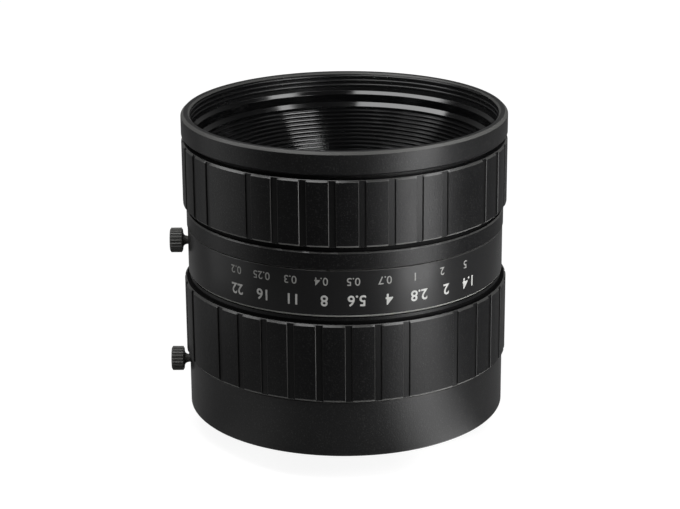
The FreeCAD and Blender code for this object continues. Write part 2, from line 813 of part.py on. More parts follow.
# A short link with round ends between two points
def link(begin, end, radius, low, thickness):
    length = math.hypot(end[0] - begin[0], end[1] - begin[1])
    angle = math.degrees(math.atan2(end[1] - begin[1], end[0] - begin[0]))
    bar = Part.makeBox(length, 2 * radius, thickness, FreeCAD.Vector(0, -radius, low))
    rounds = [Part.makeCylinder(radius, thickness, FreeCAD.Vector(x, 0, low)) for x in (0, length)]
    bar = joined(bar, rounds)
    bar.rotate(ORIGIN, Z_AXIS, angle)
    bar.translate(FreeCAD.Vector(begin[0], begin[1], 0))
    return bar


# One iris blade with its pivot below and its drive pin above, at the rest opening
def make_blade(index):
    low = plate_top + blade_floor_gap + index * blade_pitch_z
    top = low + blade_thickness
    outer = full_aperture_r + blade_width
    strip = arc_strip(full_aperture_r, outer, 0, blade_span_deg, low, blade_thickness)
    pin_x, pin_y = drive_pin_at(0)
    root = (outer - blade_root_inset, 0)
    pieces = [
        link(root, (pivot_circle_r, 0), blade_ear_r, low, blade_thickness),
        link((pivot_circle_r, 0), (pin_x, pin_y), blade_ear_r, low, blade_thickness),
        link(root, (pin_x, pin_y), blade_ear_r, low, blade_thickness),
        Part.makeCylinder(blade_pin_r, low - plate_z, FreeCAD.Vector(pivot_circle_r, 0, plate_z)),
        Part.makeCylinder(blade_pin_r, cam_ring_top - top, FreeCAD.Vector(pin_x, pin_y, top)),
    ]
    blade = joined(strip, pieces).removeSplitter()
    blade.rotate(FreeCAD.Vector(pivot_circle_r, 0, 0), Z_AXIS, rest_beta)
    blade.rotate(ORIGIN, Z_AXIS, blade_first_deg + 360.0 * index / blade_count)
    return blade


# One curved slot of the cam ring, which turns a blade in step with the ring
def cam_slot(index):
    half = blade_pin_r + blade_pin_fit
    low = cam_ring_z - cut_margin
    sides = {half: [], -half: []}
    path = []
    for step in range(cam_slot_points):
        share = step / (cam_slot_points - 1)
        x, y = drive_pin_at(full_beta * share)
        turn = math.radians(-iris_turn_deg * share)
        path.append((x * math.cos(turn) - y * math.sin(turn), x * math.sin(turn) + y * math.cos(turn)))
    centre = Part.BSplineCurve()
    centre.interpolate([FreeCAD.Vector(x, y, low) for x, y in path])
    for step in range(cam_slot_points):
        at = centre.FirstParameter + (centre.LastParameter - centre.FirstParameter) * step / (
            cam_slot_points - 1)
        point = centre.value(at)
        along = centre.tangent(at)[0]
        normal = Z_AXIS.cross(along)
        for side in sides:
            sides[side].append(point + normal * side)
    curves = []
    for side in (half, -half):
        curve = Part.BSplineCurve()
        curve.interpolate(sides[side])
        curves.append(curve.toShape())
    caps = [Part.LineSegment(sides[half][end], sides[-half][end]).toShape() for end in (0, -1)]
    outline = Part.Wire([curves[0], caps[1], curves[1], caps[0]])
    slot = Part.Face(outline).extrude(FreeCAD.Vector(0, 0, cam_ring_thickness + 2 * cut_margin))
    ends = [Part.makeCylinder(half, cam_ring_thickness + 2 * cut_margin, centre.value(at))
            for at in (centre.FirstParameter, centre.LastParameter)]
    slot = joined(slot, ends)
    slot.rotate(ORIGIN, Z_AXIS, rest_turn_deg + blade_first_deg + 360.0 * index / blade_count)
    return slot


# The ring that drives the blades, with a fork that the iris pin moves
def make_iris_cam_ring():
    body = ring(cam_ring_bore_r, cam_ring_r, cam_ring_z, cam_ring_top)
    body = body.cut([cam_slot(index) for index in range(blade_count)])
    fork_z = iris_pin_z - focus_travel - fork_overrun
    slot_top = iris_pin_z + iris_pin_r + window_margin
    shell = ring(fork_inner_r, cam_ring_r, fork_z, cam_ring_z)
    block = Part.makeBox(2 * cam_ring_r, fork_width, cam_ring_z - fork_z,
                         FreeCAD.Vector(0, -fork_width / 2, fork_z))
    half = iris_pin_r + slide_fit / 2
    gap = Part.makeBox(2 * cam_ring_r, 2 * half, slot_top - fork_z + cut_margin,
                       FreeCAD.Vector(0, -half, fork_z - cut_margin))
    fork = shell.common(block).cut(gap)
    fork.rotate(ORIGIN, Z_AXIS, iris_pin_deg)
    return body.fuse(fork)


# The plate under the blades: seven pivot holes, a rim for the cam ring, a notch for its fork
def make_iris_base_plate():
    opening_r = full_aperture_r + iris_plate_opening_gap
    body = turned([
        (opening_r, plate_z), (lower_bore_r, plate_z), (lower_bore_r, chamber_top),
        (iris_chamber_r, chamber_top), (iris_chamber_r, plate_top), (opening_r, plate_top)])
    cuts = []
    for angle in spread(blade_count, blade_first_deg):
        hole = Part.makeCylinder(blade_pin_r + blade_pin_fit, iris_plate_thickness + 2 * cut_margin,
                                 FreeCAD.Vector(pivot_circle_r, 0, plate_z - cut_margin))
        hole.rotate(ORIGIN, Z_AXIS, angle)
        cuts.append(hole)
    half = math.degrees(math.asin(fork_width / 2 / fork_inner_r)) + window_margin_deg
    first = iris_pin_deg - rest_turn_deg - half
    last = first + iris_turn_deg + 2 * half
    cuts.append(ring_sector(fork_inner_r - notch_margin, lower_bore_r + cut_margin,
                            plate_z - cut_margin, chamber_top + cut_margin, first, last))
    return body.cut(cuts)


# The cell that holds the four rear lenses and clamps the iris plate
def make_rear_cell():
    edge_4 = edge_radius["lens_4"] + seat_gap
    edge_6 = edge_radius["lens_6"] + seat_gap
    edge_7 = edge_radius["lens_7"] + seat_gap
    tube_r = edge_7 + rear_cell_tube_wall
    ring_r = edge_radius["lens_7"] + rear_ring_wall / 2
    step_6 = surface_z("lens_6", 0, edge_radius["lens_6"]) + seat_gap
    step_7 = surface_z("lens_7", 0, edge_6) + seat_gap
    return turned([
        (lens_4_front_clear_r, plate_z), (rear_cell_top_r, plate_z),
        (rear_cell_top_r, plate_z - rear_cell_top_flange), (tube_r, plate_z - rear_cell_top_flange),
        (tube_r, rear_flange_top), (lower_bore_r, rear_flange_top), (lower_bore_r, rear_flange_z),
        (tube_r, rear_flange_z), (tube_r, rear_cell_end), (ring_r, rear_cell_end),
        (ring_r, lens_7_edge_rear), (edge_7, lens_7_edge_rear), (edge_7, step_7), (edge_6, step_7),
        (edge_6, step_6), (edge_4, step_6), (edge_4, lens_4_rim_z + seat_gap),
        (lens_4_front_clear_r, lens_4_rim_z + seat_gap)])


# The ring that keeps the rear lenses in, with two slots for a spanner
def make_rear_retaining_ring():
    outer = edge_radius["lens_7"] + rear_ring_wall / 2
    inner = outer - rear_ring_wall
    top = surface_z("lens_7", 1, inner) - seat_gap
    low = lens_7_edge_rear - rear_ring_height
    body = turned([(inner, low), (outer, low), (outer, lens_7_edge_rear - seat_gap), (inner, top)])
    slot = Part.makeBox(4 * outer, spanner_slot_width, 2 * rear_ring_height / 3)
    slot.translate(FreeCAD.Vector(-2 * outer, -spanner_slot_width / 2, low - rear_ring_height / 3))
    return body.cut(slot)


# The outer iris ring: slotted grip over a low collar
def make_iris_grip_ring():
    collar_r = iris_grip_r - iris_collar_step
    collar_z = iris_ring_top - iris_collar_height
    land_r = iris_grip_r - pad_foot_bevel
    land_top = iris_ring_z + iris_pad_foot
    body = turned([
        (sleeve_r, iris_ring_z), (land_r, iris_ring_z), (land_r, land_top),
        (iris_grip_r, land_top + pad_foot_bevel), (iris_grip_r, collar_z - grip_top_bevel),
        (iris_grip_r - grip_top_bevel, collar_z), (collar_r, collar_z), (collar_r, iris_ring_top),
        (sleeve_r, iris_ring_top)])
    return slotted(body, iris_grip_r, iris_ring_z - cut_margin, iris_ring_top + cut_margin, iris_group_deg)


# The inner iris ring, which runs on the guide barrel and carries the drive pin
def make_iris_drive_ring():
    body = ring(sleeve_bore_r, sleeve_r, cover_ledge_top + ring_gap, iris_ring_top - ring_gap)
    hole = radial_pin(iris_pin_r + seat_gap, sleeve_bore_r - cut_margin, sleeve_r + cut_margin,
                      iris_pin_z, iris_pin_deg)
    return body.cut(hole)


# The pin that carries the iris ring's turn inwards to the fork
def make_iris_drive_pin():
    return radial_pin(iris_pin_r, fork_inner_r + iris_pin_inner_gap, sleeve_r - pin_tip_gap,
                      iris_pin_z, iris_pin_deg)


# The hole of one lock screw through the wall around its ring
def lock_hole(which):
    return radial_pin(lock_shank_r + lock_hole_fit, sleeve_r, cover_r + cut_margin, lock_z[which], lock_deg)


# Where the inner end of one lock's pad stands
def lock_tip(which):
    return sleeve_r + lock_pad_gap + lock_rest_backed_off[which]


# The soft pad that a lock screw presses on its ring
def make_lock_pad(which):
    tip = lock_tip(which)
    return radial_pin(lock_pad_r, tip, tip + lock_pad_length, lock_z[which], lock_deg)


# One thumb screw: shank, cone and a head with a straight knurl
def make_lock_screw(which):
    tip = lock_tip(which) + lock_pad_length
    neck = tip + lock_shank_length - lock_neck_length
    head = tip + lock_shank_length
    end = head + lock_head_length
    teeth = []
    for index in range(2 * lock_knurls):
        angle = math.pi * index / lock_knurls
        reach = lock_head_r - (index % 2) * lock_knurl_depth
        teeth.append(FreeCAD.Vector(reach * math.cos(angle), reach * math.sin(angle), head))
    knurl = Part.Face(Part.makePolygon(teeth + teeth[:1])).extrude(FreeCAD.Vector(0, 0, lock_head_length))
    bevel = lock_head_r - lock_head_bevel
    form = turned([
        (0, tip), (lock_shank_r, tip), (lock_shank_r, neck), (lock_neck_r, head), (bevel, head),
        (lock_head_r, head + lock_head_bevel), (lock_head_r, end - lock_head_bevel), (bevel, end),
        (0, end)])
    shank = turned([(0, tip), (lock_shank_r, tip), (lock_shank_r, neck), (lock_neck_r, head), (0, head)])
    screw = knurl.common(form).fuse(shank)
    screw.rotate(ORIGIN, FreeCAD.Vector(0, 1, 0), 90)
    screw.rotate(ORIGIN, Z_AXIS, lock_deg)
    screw.translate(FreeCAD.Vector(0, 0, lock_z[which]))
    return screw


# Every piece of the lens by its name
def make_all():
    pieces = {
        "rear_cover": make_rear_cover(),
        "c_mount": make_c_mount(),
        "guide_barrel": make_guide_barrel(),
        "label_sleeve": make_label_sleeve(),
        "focus_retaining_ring": make_focus_retaining_ring(),
        "rear_screws": make_rear_screws(),
        "focus_grip_ring": make_focus_grip_ring(),
        "focus_cam_sleeve": make_focus_cam_sleeve(),
        "focus_pins": make_focus_pins(),
        "unit_barrel": make_unit_barrel(),
        "filter_ring": make_filter_ring(),
        "front_baffle": make_front_baffle(),
        "front_cell": make_front_cell(),
        "front_retaining_ring": make_front_retaining_ring(),
        "spacer_1_2": make_spacer_1_2(),
        "spacer_5_6": make_spacer("lens_5", "lens_6"),
        "spacer_6_7": make_spacer("lens_6", "lens_7"),
        "iris_base_plate": make_iris_base_plate(),
        "iris_cam_ring": make_iris_cam_ring(),
        "rear_cell": make_rear_cell(),
        "rear_retaining_ring": make_rear_retaining_ring(),
        "iris_grip_ring": make_iris_grip_ring(),
        "iris_drive_ring": make_iris_drive_ring(),
        "iris_drive_pin": make_iris_drive_pin(),
    }
    for name in design_radii:
        pieces[name] = make_lens(name)
    for index in range(blade_count):
        pieces["iris_blade_%d" % (index + 1)] = make_blade(index)
    for which in lock_z:
        pieces[which + "_lock_pad"] = make_lock_pad(which)
        pieces[which + "_lock_screw"] = make_lock_screw(which)
    return pieces


os.makedirs("parts", exist_ok=True)
for piece_name, piece_shape in make_all().items():
    piece_shape.exportStep("parts/%s.step" % piece_name)
print("iris rest turn %.4f of %.1f, blade ratio %.6f" % (rest_turn_deg, iris_turn_deg,
                                                         full_beta / iris_turn_deg))
print("focus ratio %.8f m per radian" % (focus_travel / 1000 / math.radians(focus_turn_deg)))
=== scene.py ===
import json
import math

import bmesh
import bpy
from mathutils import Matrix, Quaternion, Vector


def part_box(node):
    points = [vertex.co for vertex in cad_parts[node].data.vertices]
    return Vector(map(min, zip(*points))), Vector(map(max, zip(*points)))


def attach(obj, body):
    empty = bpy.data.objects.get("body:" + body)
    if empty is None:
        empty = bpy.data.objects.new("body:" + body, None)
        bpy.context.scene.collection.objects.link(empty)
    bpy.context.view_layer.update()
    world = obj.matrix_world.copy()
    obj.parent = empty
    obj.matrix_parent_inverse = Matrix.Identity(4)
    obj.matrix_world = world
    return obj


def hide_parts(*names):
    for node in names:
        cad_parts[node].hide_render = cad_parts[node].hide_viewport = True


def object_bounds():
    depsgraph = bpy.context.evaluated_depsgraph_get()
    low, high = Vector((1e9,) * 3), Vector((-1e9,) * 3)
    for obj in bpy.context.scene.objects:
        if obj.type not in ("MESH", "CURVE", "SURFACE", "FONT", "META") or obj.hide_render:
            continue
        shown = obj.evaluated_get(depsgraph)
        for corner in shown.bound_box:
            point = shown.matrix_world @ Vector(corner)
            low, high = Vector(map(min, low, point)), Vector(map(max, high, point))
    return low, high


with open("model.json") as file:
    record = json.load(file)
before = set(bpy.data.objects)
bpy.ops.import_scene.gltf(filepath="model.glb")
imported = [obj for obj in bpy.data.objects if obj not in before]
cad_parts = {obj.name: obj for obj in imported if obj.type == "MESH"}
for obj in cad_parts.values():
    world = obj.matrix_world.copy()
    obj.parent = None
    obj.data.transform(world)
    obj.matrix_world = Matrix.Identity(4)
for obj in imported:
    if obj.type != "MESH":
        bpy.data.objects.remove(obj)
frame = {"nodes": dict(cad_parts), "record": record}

MM = 0.001
cad_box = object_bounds()


# Heights in millimetres, read from the frame
def top_of(node):
    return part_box(node)[1].z / MM


def foot_of(node):
    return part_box(node)[0].z / MM


cover_top = top_of("rear_cover")
iris_foot = foot_of("iris_grip_ring")
iris_top = top_of("iris_grip_ring")
label_foot = foot_of("label_sleeve")
label_top = top_of("label_sleeve")
focus_foot = foot_of("focus_grip_ring")
focus_top = top_of("focus_grip_ring")
rim_top = top_of("filter_ring")
hub_foot = foot_of("filter_ring")
baffle_top = top_of("front_baffle")
baffle_rest = foot_of("front_baffle")
front_ring_top = top_of("front_retaining_ring")
mount_foot = foot_of("c_mount")
mount_top = top_of("c_mount")

# Radii of the turned pieces, outwards
glass_ring_seat_r = 12.8
glass_ring_r = 14.6
cell_head_r = 16.4
hub_bore_r = 19.2
unit_r = 20.5
guide_r = 22.0
sleeve_r = 23.5
baffle_r = 23.55
neck_bore_r = 23.6
skirt_bore_r = 23.65
thread_minor_r = 24.1
neck_r = 24.2
relief_r = 24.4
label_r = 24.9
cover_r = 25.1
focus_r = 25.5
rim_r = 25.5
iris_r = 25.55
screw_circle_r = guide_r - 2.7
mount_step_r = screw_circle_r - 2.3
mount_collar_r = mount_step_r - 1.5
mount_collar_top = 1.0

# Steps round a turned piece, a small turned piece and a hole
around = 384
around_small = 256
around_hole = 48

# Index of refraction of the anodised faces, and the reach of every bump in metres
satin_ior = 1.45
bump_reach = 0.00001


# A named node with its inputs and its settings
def node_of(tree, kind, inputs=None, **settings):
    node = tree.nodes.new(kind)
    for name, value in settings.items():
        setattr(node, name, value)
    for name, value in (inputs or {}).items():
        if isinstance(value, bpy.types.NodeSocket):
            tree.links.new(value, node.inputs[name])
        else:
            node.inputs[name].default_value = value
    return node


# The result of a maths node
def maths(tree, operation, *values):
    return node_of(tree, "ShaderNodeMath", dict(enumerate(values)), operation=operation).outputs[0]


# A value carried from one range to another and held at its ends
def ranged(tree, value, begin, end, low=0.0, high=1.0, **settings):
    return node_of(tree, "ShaderNodeMapRange",
                   {"Value": value, "From Min": begin, "From Max": end, "To Min": low, "To Max": high},
                   **settings).outputs[0]


# A noise over a place
def noise(tree, place, scale, detail):
    return node_of(tree, "ShaderNodeTexNoise",
                   {"Vector": place, "Scale": scale, "Detail": detail}).outputs[0]


# The place on the piece, in its own coordinates
def own_place(tree):
    return node_of(tree, "ShaderNodeTexCoord").outputs["Object"]


# A shader node group with named inputs and outputs
def shader_group(name, inputs, outputs):
    tree = bpy.data.node_groups.new(name, "ShaderNodeTree")
    for label, kind, value in inputs:
        socket = tree.interface.new_socket(label, in_out="INPUT", socket_type=kind)
        if value is not None:
            socket.default_value = value
    for label, kind in outputs:
        tree.interface.new_socket(label, in_out="OUTPUT", socket_type=kind)
    return tree, tree.nodes.new("NodeGroupInput").outputs, tree.nodes.new("NodeGroupOutput").inputs


# Fine grain of a blasted and anodised face: a height that changes over the surface
def anodised_grain_group():
    tree, given, out = shader_group(
        "anodised_grain",
        [("Grain Size", "NodeSocketFloat", 0.00008), ("Cloud Size", "NodeSocketFloat", 0.006),
         ("Grain Height", "NodeSocketFloat", 1.0), ("Cloud Height", "NodeSocketFloat", 0.3)],
        [("Height", "NodeSocketFloat"), ("Mottle", "NodeSocketFloat")])
    place = own_place(tree)
    fine = noise(tree, place, maths(tree, "DIVIDE", 1.0, given["Grain Size"]), 2.0)
    cloud = noise(tree, place, maths(tree, "DIVIDE", 1.0, given["Cloud Size"]), 3.0)
    high = maths(tree, "MULTIPLY", fine, given["Grain Height"])
    low = maths(tree, "MULTIPLY", cloud, given["Cloud Height"])
    tree.links.new(maths(tree, "ADD", high, low), out["Height"])
    tree.links.new(cloud, out["Mottle"])
    return tree


# Fine circles left by the lathe, across the axis of the lens
def turning_marks_group():
    tree, given, out = shader_group(
        "turning_marks",
        [("Pitch", "NodeSocketFloat", 0.00012), ("Unevenness", "NodeSocketFloat", 0.5)],
        [("Height", "NodeSocketFloat")])
    split = node_of(tree, "ShaderNodeSeparateXYZ", {0: own_place(tree)}).outputs
    flat = node_of(tree, "ShaderNodeCombineXYZ", {"X": split["X"], "Y": split["Y"]})
    radius = node_of(tree, "ShaderNodeVectorMath", {0: flat.outputs[0]}, operation="LENGTH")
    along = maths(tree, "ADD", radius.outputs["Value"], split["Z"])
    lines = node_of(tree, "ShaderNodeTexNoise",
                    {"W": maths(tree, "DIVIDE", along, given["Pitch"]), "Scale": 1.0, "Detail": 2.0},
                    noise_dimensions="1D")
    tree.links.new(maths(tree, "MULTIPLY", lines.outputs[0], given["Unevenness"]), out["Height"])
    return tree


# Small pale specks of dust and bare grain
def pale_specks_group():
    tree, given, out = shader_group(
        "pale_specks",
        [("Speck Size", "NodeSocketFloat", 0.00022), ("Amount", "NodeSocketFloat", 0.02)],
        [("Mask", "NodeSocketFloat")])
    field = noise(tree, own_place(tree), maths(tree, "DIVIDE", 1.0, given["Speck Size"]), 1.0)
    peaks = ranged(tree, field, 0.55, 0.8)
    tree.links.new(maths(tree, "MULTIPLY", peaks, given["Amount"]), out["Mask"])
    return tree


anodised_grain = anodised_grain_group()
turning_marks = turning_marks_group()
pale_specks = pale_specks_group()


# An empty material with its shader
def new_material(name, **constants):
    material = bpy.data.materials.new(name)
    material.use_nodes = True
    tree = material.node_tree
    shader = tree.nodes["Principled BSDF"]
    for label, value in constants.items():
        shader.inputs[label.replace("_", " ")].default_value = value
    return material, tree, shader


# One colour mixed with another
def blended(tree, share, colour, other):
    return node_of(tree, "ShaderNodeMix", {"Factor": share, 6: colour, 7: other}, data_type="RGBA").outputs[2]


# A height turned into small changes of the shader's normal
def bumped(tree, shader, height, strength):
    relief = node_of(tree, "ShaderNodeBump", {"Height": height, "Strength": strength, "Distance": bump_reach})
    tree.links.new(relief.outputs[0], shader.inputs["Normal"])


# Anodised aluminium: satin black with grain, soft mottling and small paler specks
def anodised(name, colour, roughness, grain_size, bump, specular=0.25, lathe=0.0, specks=0.012):
    speck_colour = (0.35, 0.35, 0.34, 1)
    spread = 0.03
    material, tree, shader = new_material(name, Specular_IOR_Level=specular, Metallic=0.0, IOR=satin_ior)
    grain = node_of(tree, "ShaderNodeGroup", {"Grain Size": grain_size}, node_tree=anodised_grain).outputs
    dust = node_of(tree, "ShaderNodeGroup", {"Amount": specks}, node_tree=pale_specks).outputs
    tree.links.new(blended(tree, dust["Mask"], colour, speck_colour), shader.inputs["Base Color"])
    rough = ranged(tree, grain["Mottle"], 0.3, 0.7, roughness - spread, roughness + spread)
    tree.links.new(rough, shader.inputs["Roughness"])
    height = grain["Height"]
    if lathe > 0:
        lines = node_of(tree, "ShaderNodeGroup", {"Unevenness": lathe}, node_tree=turning_marks).outputs
        height = maths(tree, "ADD", height, lines["Height"])
    bumped(tree, shader, height, bump)
    return material


# Printed ink, slightly uneven in tone
def printed_ink(name, colour):
    thin_share = 0.72
    material, tree, shader = new_material(name, Specular_IOR_Level=0.3, Roughness=0.55)
    thin = tuple(channel * thin_share for channel in colour[:3]) + (1,)
    cover = noise(tree, own_place(tree), 2600.0, 2.0)
    tree.links.new(blended(tree, cover, colour, thin), shader.inputs["Base Color"])
    return material


# Turned or rolled metal with fine lines
def metal(name, colour, roughness, pitch, bump):
    material, tree, shader = new_material(name, Metallic=1.0, Base_Color=colour)
    lines = node_of(tree, "ShaderNodeGroup", {"Pitch": pitch}, node_tree=turning_marks).outputs
    rough = ranged(tree, lines["Height"], 0.1, 0.4, roughness - 0.05, roughness + 0.08)
    tree.links.new(rough, shader.inputs["Roughness"])
    bumped(tree, shader, lines["Height"], bump)
    return material


# Glass with a thin coating that tints what it reflects
def coated_glass(name, tint):
    material, tree, shader = new_material(
        name, Metallic=0.0, Transmission_Weight=1.0, IOR=1.6, Coat_Weight=0.3, Coat_Roughness=0.01,
        Specular_Tint=tint, Base_Color=(0.97, 0.985, 0.98, 1.0))
    smear = noise(tree, own_place(tree), 120.0, 4.0)
    tree.links.new(ranged(tree, smear, 0.4, 0.8, 0.0, 0.02), shader.inputs["Roughness"])
    return material


# Name, colour, roughness, size of the grain in metres and strength of the bump
black_satin = anodised("black_satin", (0.0036, 0.0036, 0.0039, 1), 0.37, 0.00024, 2.2, specks=0.05)
band_satin = anodised("band_satin", (0.0070, 0.0070, 0.0073, 1), 0.34, 0.00022, 1.8,
                       specular=0.45, specks=0.05)
scale_satin = anodised("scale_satin", (0.0110, 0.0110, 0.0113, 1), 0.30, 0.00010, 0.25, specular=0.25)
rim_satin = anodised("rim_satin", (0.0085, 0.0085, 0.0088, 1), 0.36, 0.00024, 2.2,
                     specular=0.22, specks=0.05)
slot_black = anodised("slot_black", (0.0040, 0.0040, 0.0042, 1), 0.40, 0.00022, 2.0, specular=0.26)
# A darker, duller copy of the black with little shine: painted shade in the grooves and hollows between the
# rings and on the iris ring's collar
groove_black = anodised("groove_black", (0.0020, 0.0020, 0.0021, 1), 0.6, 0.00012, 0.4, specular=0.06)
hood_black = anodised("hood_black", (0.0020, 0.0020, 0.0022, 1), 0.12, 0.00010, 0.04,
                      specular=0.85, lathe=0.04)
thread_black = anodised("thread_black", (0.0050, 0.0050, 0.0053, 1), 0.26, 0.00012, 0.4, specular=0.6)
inner_black = anodised("inner_black", (0.0035, 0.0035, 0.0038, 1), 0.45, 0.00012, 0.4,
                       specular=0.2, lathe=0.4)
screw_black = anodised("screw_black", (0.085, 0.085, 0.080, 1), 0.42, 0.00006, 0.3, specular=0.4)
# Paler copies of the black: painted highlights on chamfers and slot edges; the slots' right edges, on their
# shaded side, get a dimmer painted highlight
bright_edge = anodised("bright_edge", (0.034, 0.034, 0.033, 1), 0.28, 0.00012, 0.6, specular=0.6)
rim_edge = anodised("rim_edge", (0.055, 0.055, 0.053, 1), 0.36, 0.00012, 0.6, specular=0.25)
soft_edge = anodised("soft_edge", (0.034, 0.034, 0.033, 1), 0.34, 0.00012, 0.9, specular=0.32)
dim_edge = anodised("dim_edge", (0.020, 0.020, 0.020, 1), 0.40, 0.00012, 0.6, specular=0.3)
foot_edge = anodised("foot_edge", (0.160, 0.160, 0.155, 1), 0.40, 0.00012, 0.6, specular=0.5)
label_edge = anodised("label_edge", (0.360, 0.365, 0.345, 1), 0.40, 0.00012, 0.4, specular=0.3)
mount_metal = metal("mount_metal", (0.62, 0.61, 0.58, 1), 0.28, 0.00010, 0.25)
pin_metal = metal("pin_metal", (0.45, 0.45, 0.46, 1), 0.3, 0.00010, 0.25)
pad_metal = metal("pad_metal", (0.72, 0.56, 0.26, 1), 0.35, 0.00010, 0.25)
blade_metal = metal("blade_metal", (0.05, 0.05, 0.055, 1), 0.42, 0.00030, 0.15)
front_glass = coated_glass("front_glass", (0.62, 0.80, 0.66, 1))
print_white = printed_ink("print_white", (0.50, 0.50, 0.485, 1))
print_grey = printed_ink("print_grey", (0.30, 0.30, 0.29, 1))


# A mesh object from corner points and faces
def mesh_object(name, points, faces, materials, face_materials=None):
    mesh = bpy.data.meshes.new(name)
    mesh.from_pydata(points, [], faces)
    for material in materials:
        mesh.materials.append(material)
    if face_materials:
        mesh.polygons.foreach_set("material_index", face_materials)
    mesh.update()
    piece = bpy.data.objects.new(name, mesh)
    bpy.context.scene.collection.objects.link(piece)
    return piece


# Smooth shading with every edge over an angle kept sharp
def sharpen(piece, degrees=24.0):
    limit = math.cos(math.radians(degrees))
    mesh = piece.data
    mesh.polygons.foreach_set("use_smooth", [True] * len(mesh.polygons))
    normals = [polygon.normal.copy() for polygon in mesh.polygons]
    sides = {}
    for polygon in mesh.polygons:
        for key in polygon.edge_keys:
            sides.setdefault(key, []).append(polygon.index)
    for edge in mesh.edges:
        faces = sides.get(tuple(sorted(edge.vertices)), ())
        if len(faces) == 2 and normals[faces[0]].dot(normals[faces[1]]) < limit:
            edge.use_edge_sharp = True


# An outline with its corners rounded: each point is (r, z, finish of the stretch after it, round size)
def eased(outline, arc_points=4):
    result = []
    for index, (r, z, finish, size) in enumerate(outline):
        here = Vector((r, z))
        before = outline[index - 1]
        after = outline[(index + 1) % len(outline)]
        to_before = Vector(before[:2]) - here
        to_after = Vector(after[:2]) - here
        if size == 0:
            result.append((r, z, finish))
            continue
        reach = min(size, 0.45 * to_before.length, 0.45 * to_after.length)
        begin = here + to_before.normalized() * reach
        end = here + to_after.normalized() * reach
        for step in range(arc_points + 1):
            share = step / arc_points
            point = begin * (1 - share) ** 2 + here * 2 * share * (1 - share) + end * share ** 2
            result.append((point.x, point.y, finish if step == arc_points else before[2]))
    return result


# A closed outline of (r, z, finish) in millimetres, turned about the optical axis. The finish is a place
# in the list of materials and holds for the stretch after its point
def turned_ring(name, outline, materials, count=around):
    corners = len(outline)
    points = []
    for step in range(count):
        angle = 2 * math.pi * step / count
        across, along = math.cos(angle) * MM, math.sin(angle) * MM
        points.extend((r * across, r * along, z * MM) for r, z, finish in outline)
    faces, finishes = [], []
    for step in range(count):
        here, there = step * corners, (step + 1) % count * corners
        for index in range(corners):
            after = (index + 1) % corners
            faces.append((here + index, there + index, there + after, here + after))
            finishes.append(outline[index][2])
    piece = mesh_object(name, points, faces, materials, finishes)
    sharpen(piece)
    return piece


# Points that lie on each other made one
def welded(mesh):
    reach = 0.001 * MM
    shape = bmesh.new()
    shape.from_mesh(mesh)
    bmesh.ops.remove_doubles(shape, verts=shape.verts, dist=reach)
    bmesh.ops.dissolve_degenerate(shape, dist=reach, edges=shape.edges)
    shape.to_mesh(mesh)
    shape.free()


# A piece with a cutter's shape taken out of it
def cut_out(piece, cutter):
    tool = piece.modifiers.new("cut", "BOOLEAN")
    tool.object = cutter
    tool.operation = "DIFFERENCE"
    tool.solver = "EXACT"
    baked(piece)
    welded(piece.data)
    bpy.data.objects.remove(cutter)
    sharpen(piece)


# The modifiers' result kept as the piece's own plain mesh
def baked(piece):
    seen = piece.evaluated_get(bpy.context.evaluated_depsgraph_get())
    mesh = bpy.data.meshes.new_from_object(seen)
    piece.modifiers.clear()
    piece.data = mesh


# A cylinder or cone along one axis, to cut with
def cylinder(begin, end, begin_r, end_r, material, sides=around_hole):
    start, stop = Vector(begin), Vector(end)
    upright = (stop - start).to_track_quat("Z", "Y")
    points = []
    for place, radius in ((start, begin_r), (stop, end_r)):
        for step in range(sides):
            angle = 2 * math.pi * step / sides
            ring_point = place + upright @ Vector((radius * math.cos(angle), radius * math.sin(angle), 0))
            points.append(ring_point * MM)
    faces = [(step, (step + 1) % sides, sides + (step + 1) % sides, sides + step) for step in range(sides)]
    faces.append(tuple(reversed(range(sides))))
    faces.append(tuple(range(sides, 2 * sides)))
    return mesh_object("cutter", points, faces, [material])


# A node tree of geometry with named inputs and one output
def geometry_tree(name, inputs):
    tree = bpy.data.node_groups.new(name, "GeometryNodeTree")
    for label, kind in inputs:
        tree.interface.new_socket(label, in_out="INPUT", socket_type=kind)
    tree.interface.new_socket("Geometry", in_out="OUTPUT", socket_type="NodeSocketGeometry")
    return tree, tree.nodes.new("NodeGroupInput").outputs, tree.nodes.new("NodeGroupOutput").inputs


# The end that every tree shares: real geometry with its material
def finish_tree(tree, geometry, material, out):
    real = node_of(tree, "GeometryNodeRealizeInstances", {"Geometry": geometry})
    done = node_of(tree, "GeometryNodeSetMaterial", {"Geometry": real.outputs[0], "Material": material})
    tree.links.new(done.outputs[0], out["Geometry"])


